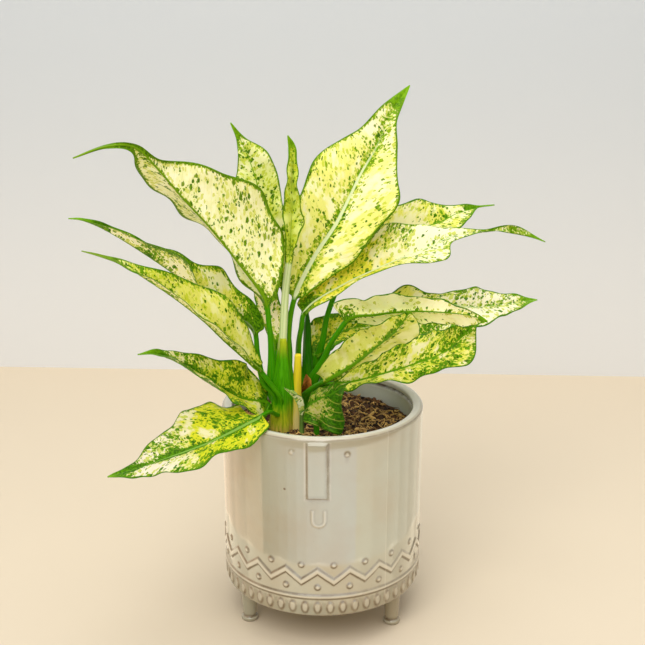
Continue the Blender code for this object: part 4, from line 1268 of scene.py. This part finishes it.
def bedHeight(x, y):
    lumps = mixLook["lumps"] * noise.noise(Vector((x * 0.16, y * 0.16, 3.3)))
    return mixLook["level"] + lumps + mixLook["clods"] * noise.noise(Vector((x * 0.5, y * 0.5, 8.1)))


def earthMaterial(name, roughness, coarse, toned=False):
    # dark to straw; a toned piece takes each chip's or fibre's own shade
    material, tree, shader = newMaterial(name, {"Roughness": roughness})
    clods = objectPlace(tree).grain(coarse, 5.0, 0.65)
    own = attribute(tree, "earthTone").split()[0] if toned else mixLook["bedTone"]
    shade = clods.times(0.5, -0.25) + own
    colour = mix(shade.ramp(0.0, 0.5), mixLook["dark"], mixLook["mid"])
    feed(shader["Base Color"], mix(shade.ramp(0.45, 1.0), colour, mixLook["light"]))
    addBump(shader, clods, 0.0012)
    return material


def buildBed():
    spokes, rings, radius = mixLook["spokes"], mixLook["rings"], mixLook["radius"]
    points = []
    for k in range(1, rings + 1):
        drop = 1.6 * float(smoothStep(0.9, 1.0, k / rings))
        for x, y, _ in circle(radius * (k / rings) ** 0.8, 0, spokes):
            points.append((x, y, bedHeight(x, y) - drop))
    bottom = planter["legHeight"] + planter["floorThickness"] + 0.3
    for inset, z in ((0, 100.0), (0, bottom + 4), (4, bottom)):
        points += circle(radius - inset, z, spokes)
    faces = tubeFaces(rings + 3, spokes, flip=True)
    makePiece("mix_bed", points, faces, earthMaterial("mix_earth", 0.9, 420.0), "potting_mix")


def scatterSpot(rng, reach):
    while True:
        a, r = rng.uniform(0, 2 * math.pi), reach * math.sqrt(rng.random())
        x, y = r * math.cos(a), r * math.sin(a)
        if all(math.hypot(x - sx, y - sy) > mixLook["shootClear"] for sx, sy in shoots.values()):
            return x, y


def buildChips():
    rng = random.Random(11)
    rings, sides = mixLook["chipRings"], mixLook["chipSides"]
    points, faces, tones = [], [], []
    for _ in range(mixLook["chips"]):
        x, y = scatterSpot(rng, mixLook["radius"] - 3.5)
        size = rng.uniform(0.9, 2.9)
        slim, flat = rng.uniform(0.25, 0.6), rng.uniform(0.2, 0.4)
        turn, tip = rng.uniform(0, anyTurn), rng.uniform(-0.7, 0.7)
        z = bedHeight(x, y) + 0.4 + size * flat * 0.4
        tones += [(1.15 * rng.random() ** 1.6, 0, 0)] * rings * sides
        faces += tubeFaces(rings, sides, len(points), flip=True)
        for k in range(rings):
            polar = math.pi * (k + 0.5) / rings
            level = size * flat * slim * 1.6 * math.cos(polar)
            for px, py, _ in circle(size * math.sin(polar), 0, sides):
                rough = rng.uniform(0.75, 1.2)
                px, py = px * rough, py * rough * slim
                points.append((x + px * math.cos(turn) - py * math.sin(turn),
                               y + px * math.sin(turn) + py * math.cos(turn), z + level + px * tip))
    makePiece("bark_chips", points, faces, earthMaterial("bark", 0.8, 700.0, True),
              attributes={"earthTone": tones})


def buildFibres():
    rng = random.Random(23)
    steps, sides = mixLook["fibreSteps"], mixLook["fibreSides"]
    points, faces, tones = [], [], []
    for _ in range(mixLook["fibres"]):
        x, y = scatterSpot(rng, mixLook["radius"] - 6)
        length, radius = rng.uniform(4, 11), rng.uniform(0.2, 0.45)
        heading, bend = rng.uniform(0, anyTurn), rng.uniform(-0.5, 0.5)
        z = bedHeight(x, y) + rng.uniform(0.4, 1.6)
        tones += [(rng.uniform(0.35, 1.2), 0, 0)] * (steps + 1) * sides
        faces += tubeFaces(steps + 1, sides, len(points))
        for k in range(steps + 1):
            for out, up, _ in circle(radius * (1 - 0.7 * (k / steps) ** 2), 0, sides):
                points.append((x - out * math.sin(heading), y + out * math.cos(heading), z + up))
            heading += bend + rng.uniform(-0.15, 0.15)
            x, y = x + length / steps * math.cos(heading), y + length / steps * math.sin(heading)
            fromMiddle = math.hypot(x, y)
            if fromMiddle > mixLook["radius"] - 1.5:
                x, y = (c * (mixLook["radius"] - 1.6) / fromMiddle for c in (x, y))
            z = bedHeight(x, y) + 0.5 + 1.2 * math.sin(math.pi * (k + 1) / steps)
    makePiece("coir_fibres", points, faces, earthMaterial("coir", 0.75, 500.0, True),
              attributes={"earthTone": tones})


buildBed()
buildChips()
buildFibres()
print("potting mix laid")


# Shoots and the cut stalk; the left shoot's last sheath runs on up the spear's stalk

stemLook = {
    "tan": srgb(216, 186, 84),
    "pale": srgb(230, 210, 132),
    "lime": srgb(186, 194, 34),
    "green": srgb(76, 160, 0),
    "deep": srgb(26, 104, 0),
    "yellow": srgb(236, 212, 36),
    "sides": 40,
    "rows": 38,
}

stems = {
    "left_shoot": {
        "foot": shoots["left_shoot"], "head": (-26.0, -14.7), "ribs": (5, 0.09), "slot": "stem",
        "heights": (140, 150, 160, 168, 176, 188, 198, 206),
        "girths": (8.6, 8.0, 7.4, 6.9, 6.1, 4.4, 3.4, 2.7),
        "tones": [(139, "tan"), (149, "lime"), (163, "green"), (190, "green"), (205, "lime")],
        "streaks": ("deep", 0.5)},
    "right_shoot": {
        "foot": shoots["right_shoot"], "head": (-11.0, 12.0), "ribs": (5, 0.09), "slot": "stem",
        "heights": (146, 158, 170, 190, 206, 216), "girths": (6.8, 5.6, 4.0, 3.0, 2.4, 0.8),
        "tones": [(139, "tan"), (149, "lime"), (163, "green"), (185, "deep")],
        "streaks": ("deep", 0.5)},
    "cut_stalk": {
        "foot": (-18.6, -13.0), "head": (-15.9, -13.0), "ribs": (4, 0.05), "slot": "stalk",
        "profile": [(4.6, soilTop - rootDepth), (4.8, soilTop), (4.2, 150), (3.3, 162), (2.8, 176),
                    (2.5, 192.5), (2.1, 193.6), (0.4, 194.0)],
        "tones": [(142, "pale"), (172, "yellow")], "streaks": ("tan", 0.4)},
}


def stemMaterial(name, tones, streakTone, streaks):
    material, tree, shader = newMaterial(name + "_skin", {"Roughness": 0.38, "Specular IOR Level": 0.3,
                                                          "Specular Tint": (0.95, 1.0, 0.40)})
    x, y, z = objectPlace(tree).split()
    streak = join(x * 900.0, y * 900.0, z * 60.0).grain(1.0, 2.0)
    height = (streak - 0.5).times(0.012, z)
    colour = stemLook[tones[0][1]]
    for (low, _), (high, tone) in zip(tones, tones[1:]):
        colour = mix(height.ramp(low * mm, high * mm), colour, stemLook[tone])
    feed(shader["Base Color"], mix(streak.ramp(0.40, 0.75, 0.0, streaks), colour, stemLook[streakTone]))
    addBump(shader, streak, 0.0006)
    return material


def shootProfile(stem):
    # a ring at each node of the shoot's lower part
    profile = []
    for z in np.linspace(soilTop - rootDepth, stem["heights"][-1], stemLook["rows"]):
        ring = 0.3 * float(bell((z - soilTop) % 9 - 4.5, 0.8)) * float(smoothStep(172, 160, z))
        profile.append((np.interp(z, stem["heights"], stem["girths"]) + ring, z))
    return profile


def buildStem(name, stem):
    profile = stem.get("profile") or shootProfile(stem)
    ribs, depth = stem["ribs"]
    bottom, top = profile[0][1], profile[-1][1]
    sides = stemLook["sides"]
    points = []
    for radius, z in profile:
        lean = (z - bottom) / (top - bottom)
        x, y = ((1 - lean) * low + lean * high for low, high in zip(stem["foot"], stem["head"]))
        for i in range(sides):
            a = 2 * math.pi * i / sides
            r = radius * (1 + depth * math.cos(ribs * a + z * 0.08))
            points.append((x + r * math.cos(a), y + r * math.sin(a), z))
    makePiece("fine_" + name, points, tubeFaces(len(profile), sides),
              stemMaterial(name, stem["tones"], *stem["streaks"]), name)


for name, stem in stems.items():
    buildStem(name, stem)
print("stems placed")
